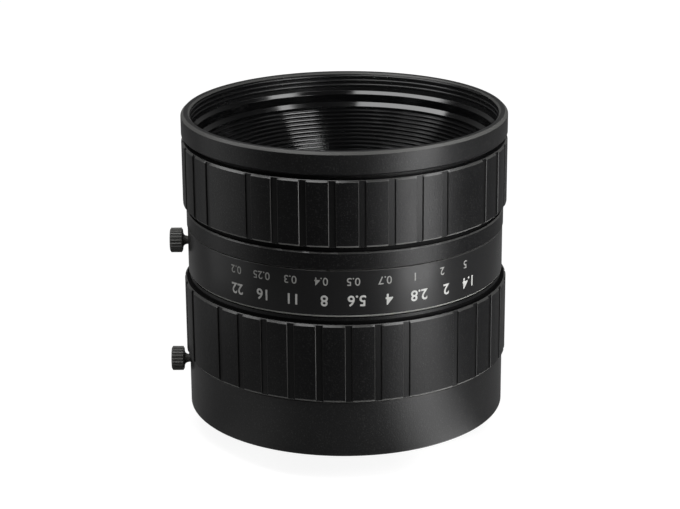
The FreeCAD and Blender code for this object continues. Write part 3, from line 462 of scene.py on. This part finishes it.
# A helical thread of a few turns: a pointed section swept along a spiral
def thread_turns_tree():
    tree, given, out = geometry_tree("thread_turns", [
        ("Geometry", "NodeSocketGeometry"), ("Radius", "NodeSocketFloat"), ("Foot", "NodeSocketFloat"),
        ("Height", "NodeSocketFloat"), ("Pitch", "NodeSocketFloat"), ("Depth", "NodeSocketFloat"),
        ("Points per Turn", "NodeSocketInt"), ("Material", "NodeSocketMaterial")])
    turns = maths(tree, "DIVIDE", given["Height"], given["Pitch"])
    spiral = node_of(tree, "GeometryNodeCurveSpiral",
                     {"Resolution": given["Points per Turn"], "Rotations": turns,
                      "Start Radius": given["Radius"], "End Radius": given["Radius"],
                      "Height": given["Height"]})
    foot = node_of(tree, "ShaderNodeCombineXYZ", {"Z": given["Foot"]})
    placed = node_of(tree, "GeometryNodeTransform",
                     {"Geometry": spiral.outputs[0], "Translation": foot.outputs[0]})
    upright = node_of(tree, "GeometryNodeSetCurveNormal", {"Curve": placed.outputs[0]}, mode="Z_UP")
    half = maths(tree, "MULTIPLY", given["Pitch"], 0.5)
    section = node_of(tree, "GeometryNodeCurvePrimitiveQuadrilateral",
                      {"Width": given["Depth"], "Bottom Height": half, "Top Height": half}, mode="KITE")
    swept = node_of(tree, "GeometryNodeCurveToMesh",
                    {"Curve": upright.outputs[0], "Profile Curve": section.outputs[0], "Fill Caps": True})
    finish_tree(tree, swept.outputs[0], given["Material"], out)
    return tree


# One small shape repeated on a circle, turned to face outwards each time
def repeat_around_tree():
    tree, given, out = geometry_tree("repeat_around", [
        ("Geometry", "NodeSocketGeometry"), ("Count", "NodeSocketInt"), ("Radius", "NodeSocketFloat"),
        ("Material", "NodeSocketMaterial")])
    circle = node_of(tree, "GeometryNodeMeshCircle", {"Vertices": given["Count"], "Radius": given["Radius"]})
    index = node_of(tree, "GeometryNodeInputIndex")
    step = maths(tree, "DIVIDE", 2 * math.pi, given["Count"])
    turn = node_of(tree, "ShaderNodeCombineXYZ", {"Z": maths(tree, "MULTIPLY", index.outputs[0], step)})
    copies = node_of(tree, "GeometryNodeInstanceOnPoints",
                     {"Points": circle.outputs[0], "Instance": given["Geometry"], "Rotation": turn.outputs[0]})
    finish_tree(tree, copies.outputs[0], given["Material"], out)
    return tree


# A tree run on a piece, with its inputs given by name, and its result kept as a plain mesh
def grown(piece, tree, **values):
    growth = piece.modifiers.new(tree.name, "NODES")
    growth.node_group = tree
    for socket in tree.interface.items_tree:
        label = socket.name.replace(" ", "_")
        if socket.in_out == "INPUT" and label in values:
            growth[socket.identifier] = values[label]
    baked(piece)
    return piece


thread_turns = thread_turns_tree()
repeat_around = repeat_around_tree()


# A thread as a piece of its own
def thread(name, radius, foot, top, pitch, depth, material):
    piece = mesh_object(name, [(0, 0, 0)], [], [material])
    return grown(piece, thread_turns, Radius=radius * MM, Foot=foot * MM, Height=(top - foot) * MM,
                 Pitch=pitch * MM, Depth=depth * MM, Points_per_Turn=160, Material=material)


# A piece that stands for CAD nodes and moves with a body
def stands_for(piece, body, slot, *nodes):
    if nodes:
        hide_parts(*nodes)
    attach(piece, body)


# Several pieces made one, kept at the origin
def merged(name, pieces):
    first = pieces[0]
    with bpy.context.temp_override(active_object=first, selected_editable_objects=pieces):
        bpy.ops.object.join()
    first.name = name
    return first


# Grip slots: four groups of eight at ten degrees
slot_groups = 4
slots_per_group = 8
slot_pitch_deg = 10.0
slot_mouth = 1.19
slot_depth = 0.22
slot_bevel = 0.08
slot_wall_deg = 0.02
pad_step_deg = 0.9
focus_group_deg = 270.7
iris_group_deg = 255.9

# Finishes of a grip ring: wall, top edge with a painted highlight, slot floor, slot's left edge with a painted
# highlight, groove with painted shade, foot edge with a painted highlight, right edge with a dimmer painted
# highlight
WALL, EDGE, FLOOR, LIP, GROOVE, FOOT, DIM = range(7)
grip_finishes = [black_satin, bright_edge, slot_black, soft_edge, groove_black, foot_edge, dim_edge]
pad_bevel = 0.3


# The angles of all the slots of one ring
def slot_angles(group_deg):
    angles = []
    for group in range(slot_groups):
        middle = group_deg + 360.0 * group / slot_groups
        for index in range(slots_per_group):
            angles.append((middle + (index - (slots_per_group - 1) / 2) * slot_pitch_deg) % 360.0)
    return sorted(angles)


# Angle, depth and finish of the stretches round a slotted ring
def slotted_stations(group_deg, outer):
    bevel = math.degrees(slot_bevel / outer)
    half = math.degrees(slot_mouth / 2 / outer) - bevel
    stations = []
    middles = slot_angles(group_deg)
    for index, middle in enumerate(middles):
        following = middles[index + 1] if index + 1 < len(middles) else middles[0] + 360.0
        stations += [(middle - half - bevel, 0.0, LIP), (middle - half, slot_bevel, FLOOR),
                     (middle - half + slot_wall_deg, slot_depth, FLOOR), (middle, slot_depth, FLOOR),
                     (middle + half - slot_wall_deg, slot_depth, FLOOR), (middle + half, slot_bevel, DIM)]
        begin, end = middle + half + bevel, following - half - bevel
        steps = max(2, round((end - begin) / pad_step_deg))
        stations += [(begin + (end - begin) * step / steps, 0.0, WALL) for step in range(steps)]
    return stations


# A slotted grip ring: each outline point is (r, z, cut by the slots, finish of the stretch after it)
def grip_ring(name, outline, group_deg, outer):
    stations = slotted_stations(group_deg, outer)
    corners = len(outline)
    points = []
    for angle, depth, finish in stations:
        turn = math.radians(angle)
        for r, z, cut, wall in outline:
            reach = min(r, outer - depth) if cut else r
            points.append((reach * math.cos(turn) * MM, reach * math.sin(turn) * MM, z * MM))
    faces, finishes = [], []
    for step, (angle, depth, finish) in enumerate(stations):
        here, there = step * corners, (step + 1) % len(stations) * corners
        for index, (r, z, cut, wall) in enumerate(outline):
            after = (index + 1) % corners
            faces.append((here + index, there + index, there + after, here + after))
            in_slot = finish != WALL and cut and outline[after][2]
            finishes.append(finish if in_slot else wall)
    piece = mesh_object(name, points, faces, grip_finishes, finishes)
    sharpen(piece)
    return piece


# The outer focus ring: plain band, groove with painted shade, slotted pads with painted highlights on their
# edges
def make_focus_ring():
    band_r = focus_r - 0.5
    band_top = focus_foot + 2.5
    groove_z = band_top + 0.2
    groove_top = groove_z + 0.85
    groove_r = focus_r - 0.95
    land_r = focus_r - pad_bevel
    land_top = groove_top + 0.02
    outline = [
        (sleeve_r, focus_foot, False, WALL), (band_r - 0.12, focus_foot, False, EDGE),
        (band_r, focus_foot + 0.12, False, WALL), (band_r, band_top, False, EDGE),
        (band_r - 0.2, groove_z, False, GROOVE), (groove_r, groove_z, False, GROOVE),
        (groove_r, groove_top, False, GROOVE), (land_r, groove_top, False, GROOVE),
        (land_r, land_top - 0.01, False, FOOT), (land_r, land_top, True, FOOT),
        (focus_r, land_top + pad_bevel, True, WALL), (focus_r, focus_top - pad_bevel, True, EDGE),
        (focus_r - slot_depth, focus_top - pad_bevel + slot_depth, True, EDGE),
        (land_r, focus_top, False, WALL), (relief_r, focus_top, False, GROOVE),
        (relief_r, focus_top - 6.0, False, GROOVE), (sleeve_r, focus_top - 6.5, False, GROOVE)]
    ring = grip_ring("focus_ring_body", outline, focus_group_deg, focus_r)
    stands_for(ring, "focus_ring", "anodised_black", "focus_grip_ring")


# The outer iris ring: slotted pads with painted highlights on their edges and a low collar, partly with
# painted shade
def make_iris_ring():
    collar_z = iris_top - 0.95
    collar_r = iris_r - 0.85
    land_r = iris_r - pad_bevel
    outline = [
        (sleeve_r, iris_foot, False, WALL), (land_r, iris_foot, False, FOOT),
        (land_r, iris_foot + 0.04, False, FOOT), (land_r, iris_foot + 0.05, True, FOOT),
        (iris_r, iris_foot + 0.05 + pad_bevel, True, WALL), (iris_r, collar_z - pad_bevel, True, EDGE),
        (iris_r - slot_depth, collar_z - pad_bevel + slot_depth, True, EDGE),
        (land_r, collar_z, False, GROOVE), (collar_r, collar_z, False, GROOVE),
        (collar_r, collar_z + 0.45, False, WALL), (collar_r, iris_top, False, GROOVE),
        (sleeve_r, iris_top, False, GROOVE)]
    ring = grip_ring("iris_ring_body", outline, iris_group_deg, iris_r)
    stands_for(ring, "iris_ring", "anodised_black", "iris_grip_ring")


# The height of a lock screw's axis
def lock_height(which):
    low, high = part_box(which + "_lock_screw")
    return (low.z + high.z) / 2 / MM


# The hole of a lock screw through the wall on the lens's left side
def lock_cutter(which):
    hole_r = 0.72
    z = lock_height(which)
    return cylinder((-sleeve_r - 0.01, 0, z), (-cover_r - 1, 0, z), hole_r, hole_r, black_satin)


# The bottom cover: a plain band with its flange face below and three countersunk screw holes
def make_bottom_cover():
    ledge = cover_top - 3.45
    floor_z = 2.5
    foot_chamfer = 0.25
    top_chamfer = 0.12
    hole_r = 0.85
    sink_r = 1.85
    outline = eased([
        (mount_collar_r, 0, 0, 0.1), (cover_r - foot_chamfer, 0, 1, 0.05), (cover_r, foot_chamfer, 0, 0.05),
        (cover_r, cover_top - top_chamfer, 1, 0.03), (cover_r - top_chamfer, cover_top, 0, 0.03),
        (skirt_bore_r, cover_top, 0, 0), (skirt_bore_r, ledge, 0, 0), (guide_r, ledge, 0, 0),
        (guide_r, floor_z, 0, 0), (mount_step_r, floor_z, 0, 0), (mount_step_r, mount_collar_top, 0, 0),
        (mount_collar_r, mount_collar_top, 0, 0)])
    # Its foot and top chamfers carry a painted highlight
    body = turned_ring("bottom_cover", outline, [band_satin, soft_edge])
    cut_out(body, lock_cutter("iris"))
    for angle_deg in (30.0, 150.0, 270.0):
        x = screw_circle_r * math.cos(math.radians(angle_deg))
        y = screw_circle_r * math.sin(math.radians(angle_deg))
        cut_out(body, cylinder((x, y, -0.1), (x, y, 0.9), sink_r, hole_r, band_satin))
        cut_out(body, cylinder((x, y, 0.5), (x, y, 3.0), hole_r, hole_r, band_satin))
    stands_for(body, "base", "anodised_black", "rear_cover")


# The band that carries the scales, with painted highlights on its top and foot chamfers
def make_label_band():
    bevel = 0.34
    top_chamfer = 0.15
    label_low = label_foot - 0.12
    web_top = label_foot + 1.5
    outline = eased([
        (guide_r, label_low, 0, 0), (label_r - bevel, label_low, 2, 0.03),
        (label_r, label_low + bevel, 0, 0.03),
        (label_r, label_top - top_chamfer, 1, 0.03), (label_r - top_chamfer, label_top, 0, 0.03),
        (skirt_bore_r, label_top, 0, 0), (skirt_bore_r, web_top, 0, 0), (guide_r, web_top, 0, 0)])
    band = turned_ring("label_band", outline, [scale_satin, bright_edge, label_edge])
    cut_out(band, lock_cutter("focus"))
    stands_for(band, "base", "anodised_scale", "label_sleeve")


# One number printed on the band, upside down as on the real lens when it stands on its mount
def printed_number(words, turn_deg, foot_z, size, weight):
    ink_depth = 0.012 * MM
    ink_gap = 0.004 * MM
    curve = bpy.data.curves.new("number", "FONT")
    curve.body = words
    curve.size = size * MM
    curve.align_x = "CENTER"
    curve.offset = weight * MM
    curve.extrude = ink_depth
    curve.resolution_u = 4
    source = bpy.data.objects.new("number", curve)
    bpy.context.scene.collection.objects.link(source)
    mesh = bpy.data.meshes.new_from_object(source.evaluated_get(bpy.context.evaluated_depsgraph_get()))
    bpy.data.objects.remove(source)
    welded(mesh)
    tall = max(vertex.co.y for vertex in mesh.vertices)
    for vertex in mesh.vertices:
        angle = math.radians(turn_deg) - vertex.co.x / (label_r * MM)
        r = label_r * MM + ink_gap + vertex.co.z
        z = foot_z * MM + tall - vertex.co.y
        vertex.co = (r * math.cos(angle), r * math.sin(angle), z)
    piece = bpy.data.objects.new("number", mesh)
    bpy.context.scene.collection.objects.link(piece)
    return piece


# Two rows of plain numbers on the band: name, numbers, foot, size, weight, first angle, step and ink
def make_numbers():
    rows = [
        ("distance_numbers", ("0.2", "0.25", "0.3", "0.4", "0.5", "0.7", "1", "2", "5"), 27.4, 1.75, 0.01,
         228.6, 11.0, print_grey),
        ("opening_numbers", ("22", "16", "11", "8", "5.6", "4", "2.8", "2", "1.4"), 24.15, 2.35, 0.035,
         229.0, 11.2, print_white)]
    for name, words, foot_z, size, weight, first_deg, step_deg, ink in rows:
        pieces = [printed_number(word, first_deg + index * step_deg, foot_z, size, weight)
                  for index, word in enumerate(words)]
        row = merged(name, pieces)
        row.data.materials.clear()
        row.data.materials.append(ink)
        stands_for(row, "base", "anodised_scale")


# The front rim with its neck, cone and filter thread; finishes are plain, edge with a painted highlight,
# thread and neck
def make_front_rim():
    rim_foot = rim_top - 3.56
    thread_foot = rim_top - 3.1
    ledge = thread_foot - 0.5
    hub_top = hub_foot + 4.6
    cone_under = hub_top - unit_r
    cone_upper = cone_under + 0.9
    chamfer = 0.42
    inner_chamfer = 0.3
    pitch = 0.75
    depth = 0.22
    outline = eased([
        (hub_bore_r, hub_foot, 0, 0), (unit_r, hub_foot, 0, 0), (unit_r, hub_top, 0, 0),
        (neck_r, cone_under + neck_r, 0, 0), (neck_r, rim_foot, 0, 0), (rim_r - 0.3, rim_foot, 0, 0.05),
        (rim_r, rim_foot + 0.3, 0, 0.05), (rim_r, rim_top - chamfer, 1, 0.05),
        (rim_r - chamfer, rim_top, 0, 0.05), (thread_minor_r + inner_chamfer, rim_top, 1, 0.04),
        (thread_minor_r, rim_top - inner_chamfer, 2, 0),
        (thread_minor_r, thread_foot, 3, 0.04), (neck_bore_r, ledge, 3, 0.04),
        (neck_bore_r, cone_upper + neck_bore_r, 0, 0), (hub_bore_r, cone_upper + hub_bore_r, 0, 0)])
    body = turned_ring("front_rim", outline, [rim_satin, rim_edge, thread_black, hood_black])
    stands_for(body, "lens_unit", "anodised_black", "filter_ring")
    turns = thread("filter_thread", thread_minor_r + 0.04, thread_foot + 0.35, rim_top - 0.55, pitch, depth,
                   thread_black)
    stands_for(turns, "lens_unit", "anodised_black")


# The stepped cone that keeps stray light off the glass
def make_hood_cone():
    steps = 11
    step = 0.53
    sharp, soft = 0.03, 0.28
    mouth_r = baffle_r - 0.6
    mouth_z = baffle_top - 0.6
    under = mouth_z - mouth_r - 1.1
    hub_inner = cell_head_r + 0.1
    hub_outer = hub_inner + 1.1
    outline = [(baffle_r, baffle_top, 0, 0), (mouth_r, mouth_z, 0, 0)]
    for index in range(steps):
        r, z = mouth_r - index * step, mouth_z - index * step
        outline += [(r, z - step, 0, sharp), (r - step, z - step, 0, soft)]
    foot_r, foot_z = mouth_r - steps * step, mouth_z - steps * step
    outline += [
        (foot_r, foot_z - step, 0, 0), (hub_inner, foot_z - step, 0, 0), (hub_inner, baffle_rest, 0, 0),
        (hub_outer, baffle_rest, 0, 0), (hub_outer, under + hub_outer, 0, 0),
        (baffle_r, under + baffle_r, 0, 0)]
    cone = turned_ring("hood_cone", eased(outline), [hood_black])
    stands_for(cone, "lens_unit", "inner_black", "front_baffle")


# The ring that screws down on the front lens, with its two spanner slots
def make_glass_ring():
    top = front_ring_top
    edge_z = top - 2.2
    outline = eased([
        (glass_ring_seat_r, edge_z + 0.28, 0, 0), (glass_ring_seat_r + 0.5, edge_z, 0, 0),
        (glass_ring_r, edge_z, 0, 0), (glass_ring_r, top, 0, 0.05), (glass_ring_seat_r + 1.2, top, 0, 0.05)])
    body = turned_ring("glass_ring", outline, [inner_black], around_small)
    cut_out(body, cylinder((-20, 0, top), (20, 0, top), 0.7, 0.7, inner_black, 4))
    stands_for(body, "lens_unit", "inner_black", "front_retaining_ring")


# The threaded mount below the flange face
def make_mount():
    thread_r = 12.7
    bore_r = thread_r - 1.4
    root_r = thread_r - 0.35
    pitch = 0.794
    depth = 0.7
    outline = eased([
        (bore_r, mount_foot, 0, 0.1), (root_r - 0.1, mount_foot, 0, 0.05), (root_r, mount_foot + 0.3, 0, 0),
        (root_r, -0.6, 0, 0), (root_r, 0, 0, 0), (mount_collar_r, 0, 0, 0),
        (mount_collar_r, mount_collar_top, 0, 0), (mount_step_r, mount_collar_top, 0, 0),
        (mount_step_r, mount_top, 0, 0), (bore_r, mount_top, 0, 0)])
    body = turned_ring("mount_body", outline, [mount_metal], around_small)
    stands_for(body, "base", "plated_brass", "c_mount")
    turns = thread("mount_thread", root_r, mount_foot + 0.55, -0.75, pitch, depth, mount_metal)
    stands_for(turns, "base", "plated_brass")


# One thumb screw: shank, hollowed neck and a head with a straight knurl
def make_lock_screw(which):
    low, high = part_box(which + "_lock_screw")
    end = -low.x / MM
    tip = -high.x / MM
    head = end - 2.0
    head_r = 1.97
    core_r = head_r - 0.16
    shank_r = 0.65
    outline = [(0.0, tip), (shank_r, tip), (shank_r, head - 0.75), (0.72, head - 0.45), (0.88, head - 0.2),
               (1.2, head - 0.04), (1.35, head), (core_r - 0.1, head), (core_r, head + 0.1),
               (core_r, end - 0.12), (core_r - 0.04, end - 0.04), (core_r - 0.12, end), (0.0, end)]
    sides = around_hole
    points = [(0, 0, tip * MM)]
    for r, height in outline[1:-1]:
        for step in range(sides):
            angle = 2 * math.pi * step / sides
            points.append((r * math.cos(angle) * MM, r * math.sin(angle) * MM, height * MM))
    points.append((0, 0, end * MM))
    last = len(points) - 1
    rows = len(outline) - 2
    faces = []
    for step in range(sides):
        following = (step + 1) % sides
        faces.append((0, 1 + following, 1 + step))
        for row in range(rows - 1):
            below, above = 1 + row * sides, 1 + (row + 1) * sides
            faces.append((below + step, below + following, above + following, above + step))
        top = 1 + (rows - 1) * sides
        faces.append((top + step, top + following, last))
    body = mesh_object(which + "_thumb_screw", points, faces, [screw_black])
    teeth = 24
    half = math.pi * core_r / teeth * 0.98
    ridge = head_r - core_r
    sunk = -0.12
    foot_a, foot_b = head + 0.06, end - 0.06
    crest_a, crest_b = head + 0.15, end - 0.16
    corners = [(sunk, -half, foot_a), (sunk, half, foot_a), (sunk, half, foot_b), (sunk, -half, foot_b),
               (ridge, 0, crest_a), (ridge, 0, crest_b)]
    tooth_faces = [(3, 2, 1, 0), (0, 4, 5, 3), (1, 2, 5, 4), (0, 1, 4), (2, 3, 5)]
    tooth = mesh_object("tooth", [Vector(corner) * MM for corner in corners], tooth_faces, [screw_black])
    knurl = grown(tooth, repeat_around, Count=teeth, Radius=core_r * MM, Material=screw_black)
    screw = merged(which + "_thumb_screw", [body, knurl])
    axis_z = lock_height(which) * MM
    for vertex in screw.data.vertices:
        x, y, along = vertex.co
        vertex.co = (-along, y, x + axis_z)
    sharpen(screw)
    stands_for(screw, which + "_lock_thumb", "screw_black", which + "_lock_screw")


make_focus_ring()
make_iris_ring()
make_bottom_cover()
make_label_band()
make_numbers()
make_front_rim()
make_hood_cone()
make_glass_ring()
make_mount()
make_lock_screw("focus")
make_lock_screw("iris")

finish_by_slot = {
    "anodised_black": black_satin,
    "anodised_scale": scale_satin,
    "inner_black": inner_black,
    "plated_brass": mount_metal,
    "coated_glass": front_glass,
    "blade_steel": blade_metal,
    "pin_steel": pin_metal,
    "pad_brass": pad_metal,
    "screw_black": screw_black,
}
for part in frame["record"]["subparts"]:
    node = frame["nodes"][part["node"]]
    node.data.materials.clear()
    node.data.materials.append(finish_by_slot[part["material_slot"]])


# The photograph's view: camera and target in millimetres, with the picture's small roll
camera_at = (-0.82, -323.59, 131.59)
camera_target = (-0.82, 0.0, 24.04)
camera_focal = 113.25
camera_roll_deg = -0.435


def make_camera():
    data = bpy.data.cameras.new("camera")
    data.lens = camera_focal
    data.sensor_width = 36.0
    data.clip_start = 0.01
    data.clip_end = 10.0
    camera = bpy.data.objects.new("camera", data)
    bpy.context.scene.collection.objects.link(camera)
    camera.location = Vector(camera_at) * MM
    aim = (Vector(camera_target) * MM - camera.location).to_track_quat("-Z", "Y")
    camera.rotation_mode = "QUATERNION"
    camera.rotation_quaternion = aim @ Quaternion((0, 0, 1), math.radians(camera_roll_deg))
    bpy.context.scene.camera = camera


# A soft rectangular lamp, in millimetres and watts per square metre of its face
def area_light(name, place, size, strength, target=(0, 0, 24)):
    data = bpy.data.lights.new(name, "AREA")
    data.shape = "RECTANGLE"
    data.size, data.size_y = size[0] * MM, size[1] * MM
    data.energy = strength * data.size * data.size_y * math.pi
    lamp = bpy.data.objects.new(name, data)
    bpy.context.scene.collection.objects.link(lamp)
    lamp.location = Vector(place) * MM
    lamp.rotation_mode = "QUATERNION"
    lamp.rotation_quaternion = (Vector(target) * MM - lamp.location).to_track_quat("-Z", "Y")
    lamp.visible_camera = False


# What the pale room gives to a mirror, to the floor near the lens and under it, where a painted shadow lies,
# and to the lens itself; a painted glow on the floor for mirrors; the floor's grey, paler in a painted pool of
# light
mirrored_background = 0.16
floor_glow_near = 0.9
# Painted shadow: the floor's glow under the mount
painted_shadow_under_mount = 0.2
# A painted glow on the floor, seen only in mirrors on the right
painted_floor_glow = 2.2
# The floor's grey, and its paler grey inside a painted pool of light on both sides
floor_front = 0.18
painted_pool_grey = 0.42
room_dark = 0.05
room_pale = 0.20

# Angles from the front, in degrees, over which mirrors see the room and the painted light on the floor begins
# and ends
mirror_angles = (25.0, 170.0)
patch_begins = (18.0, 46.0)
patch_ends = (46.0, 76.0)

# Distances from the axis over which the floor's glow grows, out of the painted shadow under the mount and
# around the lens
under_mount_reach = (11.2 * MM, 13.0 * MM)
around_lens_reach = (55 * MM, 170 * MM)


# How far a direction or a place lies from the front of the lens: 0 in front, 1 at the back
def away_from_front(tree, coordinate, angles):
    split = node_of(tree, "ShaderNodeSeparateXYZ", {0: coordinate}).outputs
    ahead = maths(tree, "MULTIPLY", split["Y"], -1.0)
    angle = maths(tree, "ARCTAN2", maths(tree, "ABSOLUTE", split["X"]), ahead)
    return ranged(tree, angle, math.radians(angles[0]), math.radians(angles[1]),
                  interpolation_type="SMOOTHSTEP")


# What a camera, a mirror and a glass see of a pale background; a mirror sees less of it in front
def background_seen(tree, away):
    path = node_of(tree, "ShaderNodeLightPath").outputs
    mirrored = maths(tree, "MULTIPLY", path["Is Glossy Ray"], away)
    dimmed = maths(tree, "MULTIPLY", mirrored, mirrored_background)
    direct = maths(tree, "MAXIMUM", path["Is Camera Ray"], path["Is Transmission Ray"])
    return maths(tree, "MAXIMUM", direct, dimmed)


# A pale floor below the mount, which keeps the lens's shadow, with a painted shadow under the mount; its grey
# is paler in a painted pool of light on both sides, and mirrors see a painted glow on its right
def make_floor():
    size = 3000 * MM
    z = cad_box[0].z - 0.00002
    points = [(-size, -size, z), (size, -size, z), (size, size, z), (-size, size, z)]
    material, tree, shader = new_material("floor_white", Roughness=0.9, Specular_IOR_Level=0.0)
    place = own_place(tree)
    seen = background_seen(tree, away_from_front(tree, place, mirror_angles))
    # A band on both sides where light is painted on the floor
    painted_light_band = maths(tree, "SUBTRACT", away_from_front(tree, place, patch_begins),
                away_from_front(tree, place, patch_ends))
    split = node_of(tree, "ShaderNodeSeparateXYZ", {0: place}).outputs
    painted_light_right = maths(tree, "MULTIPLY", painted_light_band, maths(tree, "GREATER_THAN", split["X"], 0.0))
    path = node_of(tree, "ShaderNodeLightPath").outputs
    # Painted glow in the right band, seen only by mirror rays
    painted_glow = maths(tree, "MULTIPLY", maths(tree, "MULTIPLY", painted_light_right, path["Is Glossy Ray"]), painted_floor_glow)
    distance = node_of(tree, "ShaderNodeVectorMath", {0: place}, operation="LENGTH").outputs["Value"]
    level = ranged(tree, distance, *around_lens_reach, floor_glow_near)
    # Painted shadow: the glow drops under the mount
    under = ranged(tree, distance, *under_mount_reach, painted_shadow_under_mount)
    glow = maths(tree, "MULTIPLY_ADD", seen, maths(tree, "MULTIPLY", level, under), painted_glow)
    white = node_of(tree, "ShaderNodeEmission", {"Color": (1, 1, 1, 1), "Strength": glow})
    # The floor's grey is paler in the band: a painted pool of light
    grey = ranged(tree, painted_light_band, 0.0, 1.0, floor_front, painted_pool_grey)
    own = node_of(tree, "ShaderNodeCombineColor", {"Red": grey, "Green": grey, "Blue": grey})
    tree.links.new(own.outputs[0], shader.inputs["Base Color"])
    both = node_of(tree, "ShaderNodeAddShader", {0: shader.outputs[0], 1: white.outputs[0]})
    tree.links.new(both.outputs[0], tree.nodes["Material Output"].inputs["Surface"])
    floor = mesh_object("floor", points, [(0, 1, 2, 3)], [material])


# A white world for the camera, for mirrors and for glass; as a light it is dim, and dark overhead
def make_world():
    world = bpy.data.worlds.new("studio")
    world.use_nodes = True
    bpy.context.scene.world = world
    tree = world.node_tree
    place = node_of(tree, "ShaderNodeTexCoord").outputs["Generated"]
    away = away_from_front(tree, place, mirror_angles)
    height = node_of(tree, "ShaderNodeSeparateXYZ", {0: place}).outputs["Z"]
    low = ranged(tree, height, 0.75, 0.35, interpolation_type="SMOOTHSTEP")
    wall = maths(tree, "MULTIPLY", away, low)
    room = ranged(tree, wall, 0.0, 1.0, room_dark, room_pale)
    level = maths(tree, "MAXIMUM", room, background_seen(tree, wall))
    tree.links.new(level, tree.nodes["Background"].inputs["Strength"])
    tree.nodes["Background"].inputs["Color"].default_value = (1, 1, 1, 1)


make_camera()
make_floor()
make_world()
area_light("key_right", (54, -54, 50), (38, 108), 6.6, (10, -18, 30))
area_light("fill_left", (-78, -14, 48), (64, 104), 0.8, (0, -4, 30))
area_light("top_left", (-56, -10, 190), (176, 82), 4.8, (0, 0, 40))
area_light("top_right", (99, -10, 190), (48, 80), 5.2, (0, 0, 40))
area_light("rim_left", (-100, 6, 128), (46, 40), 3.6, (-17, -19, 46))

bpy.context.scene.view_settings.view_transform = "Standard"
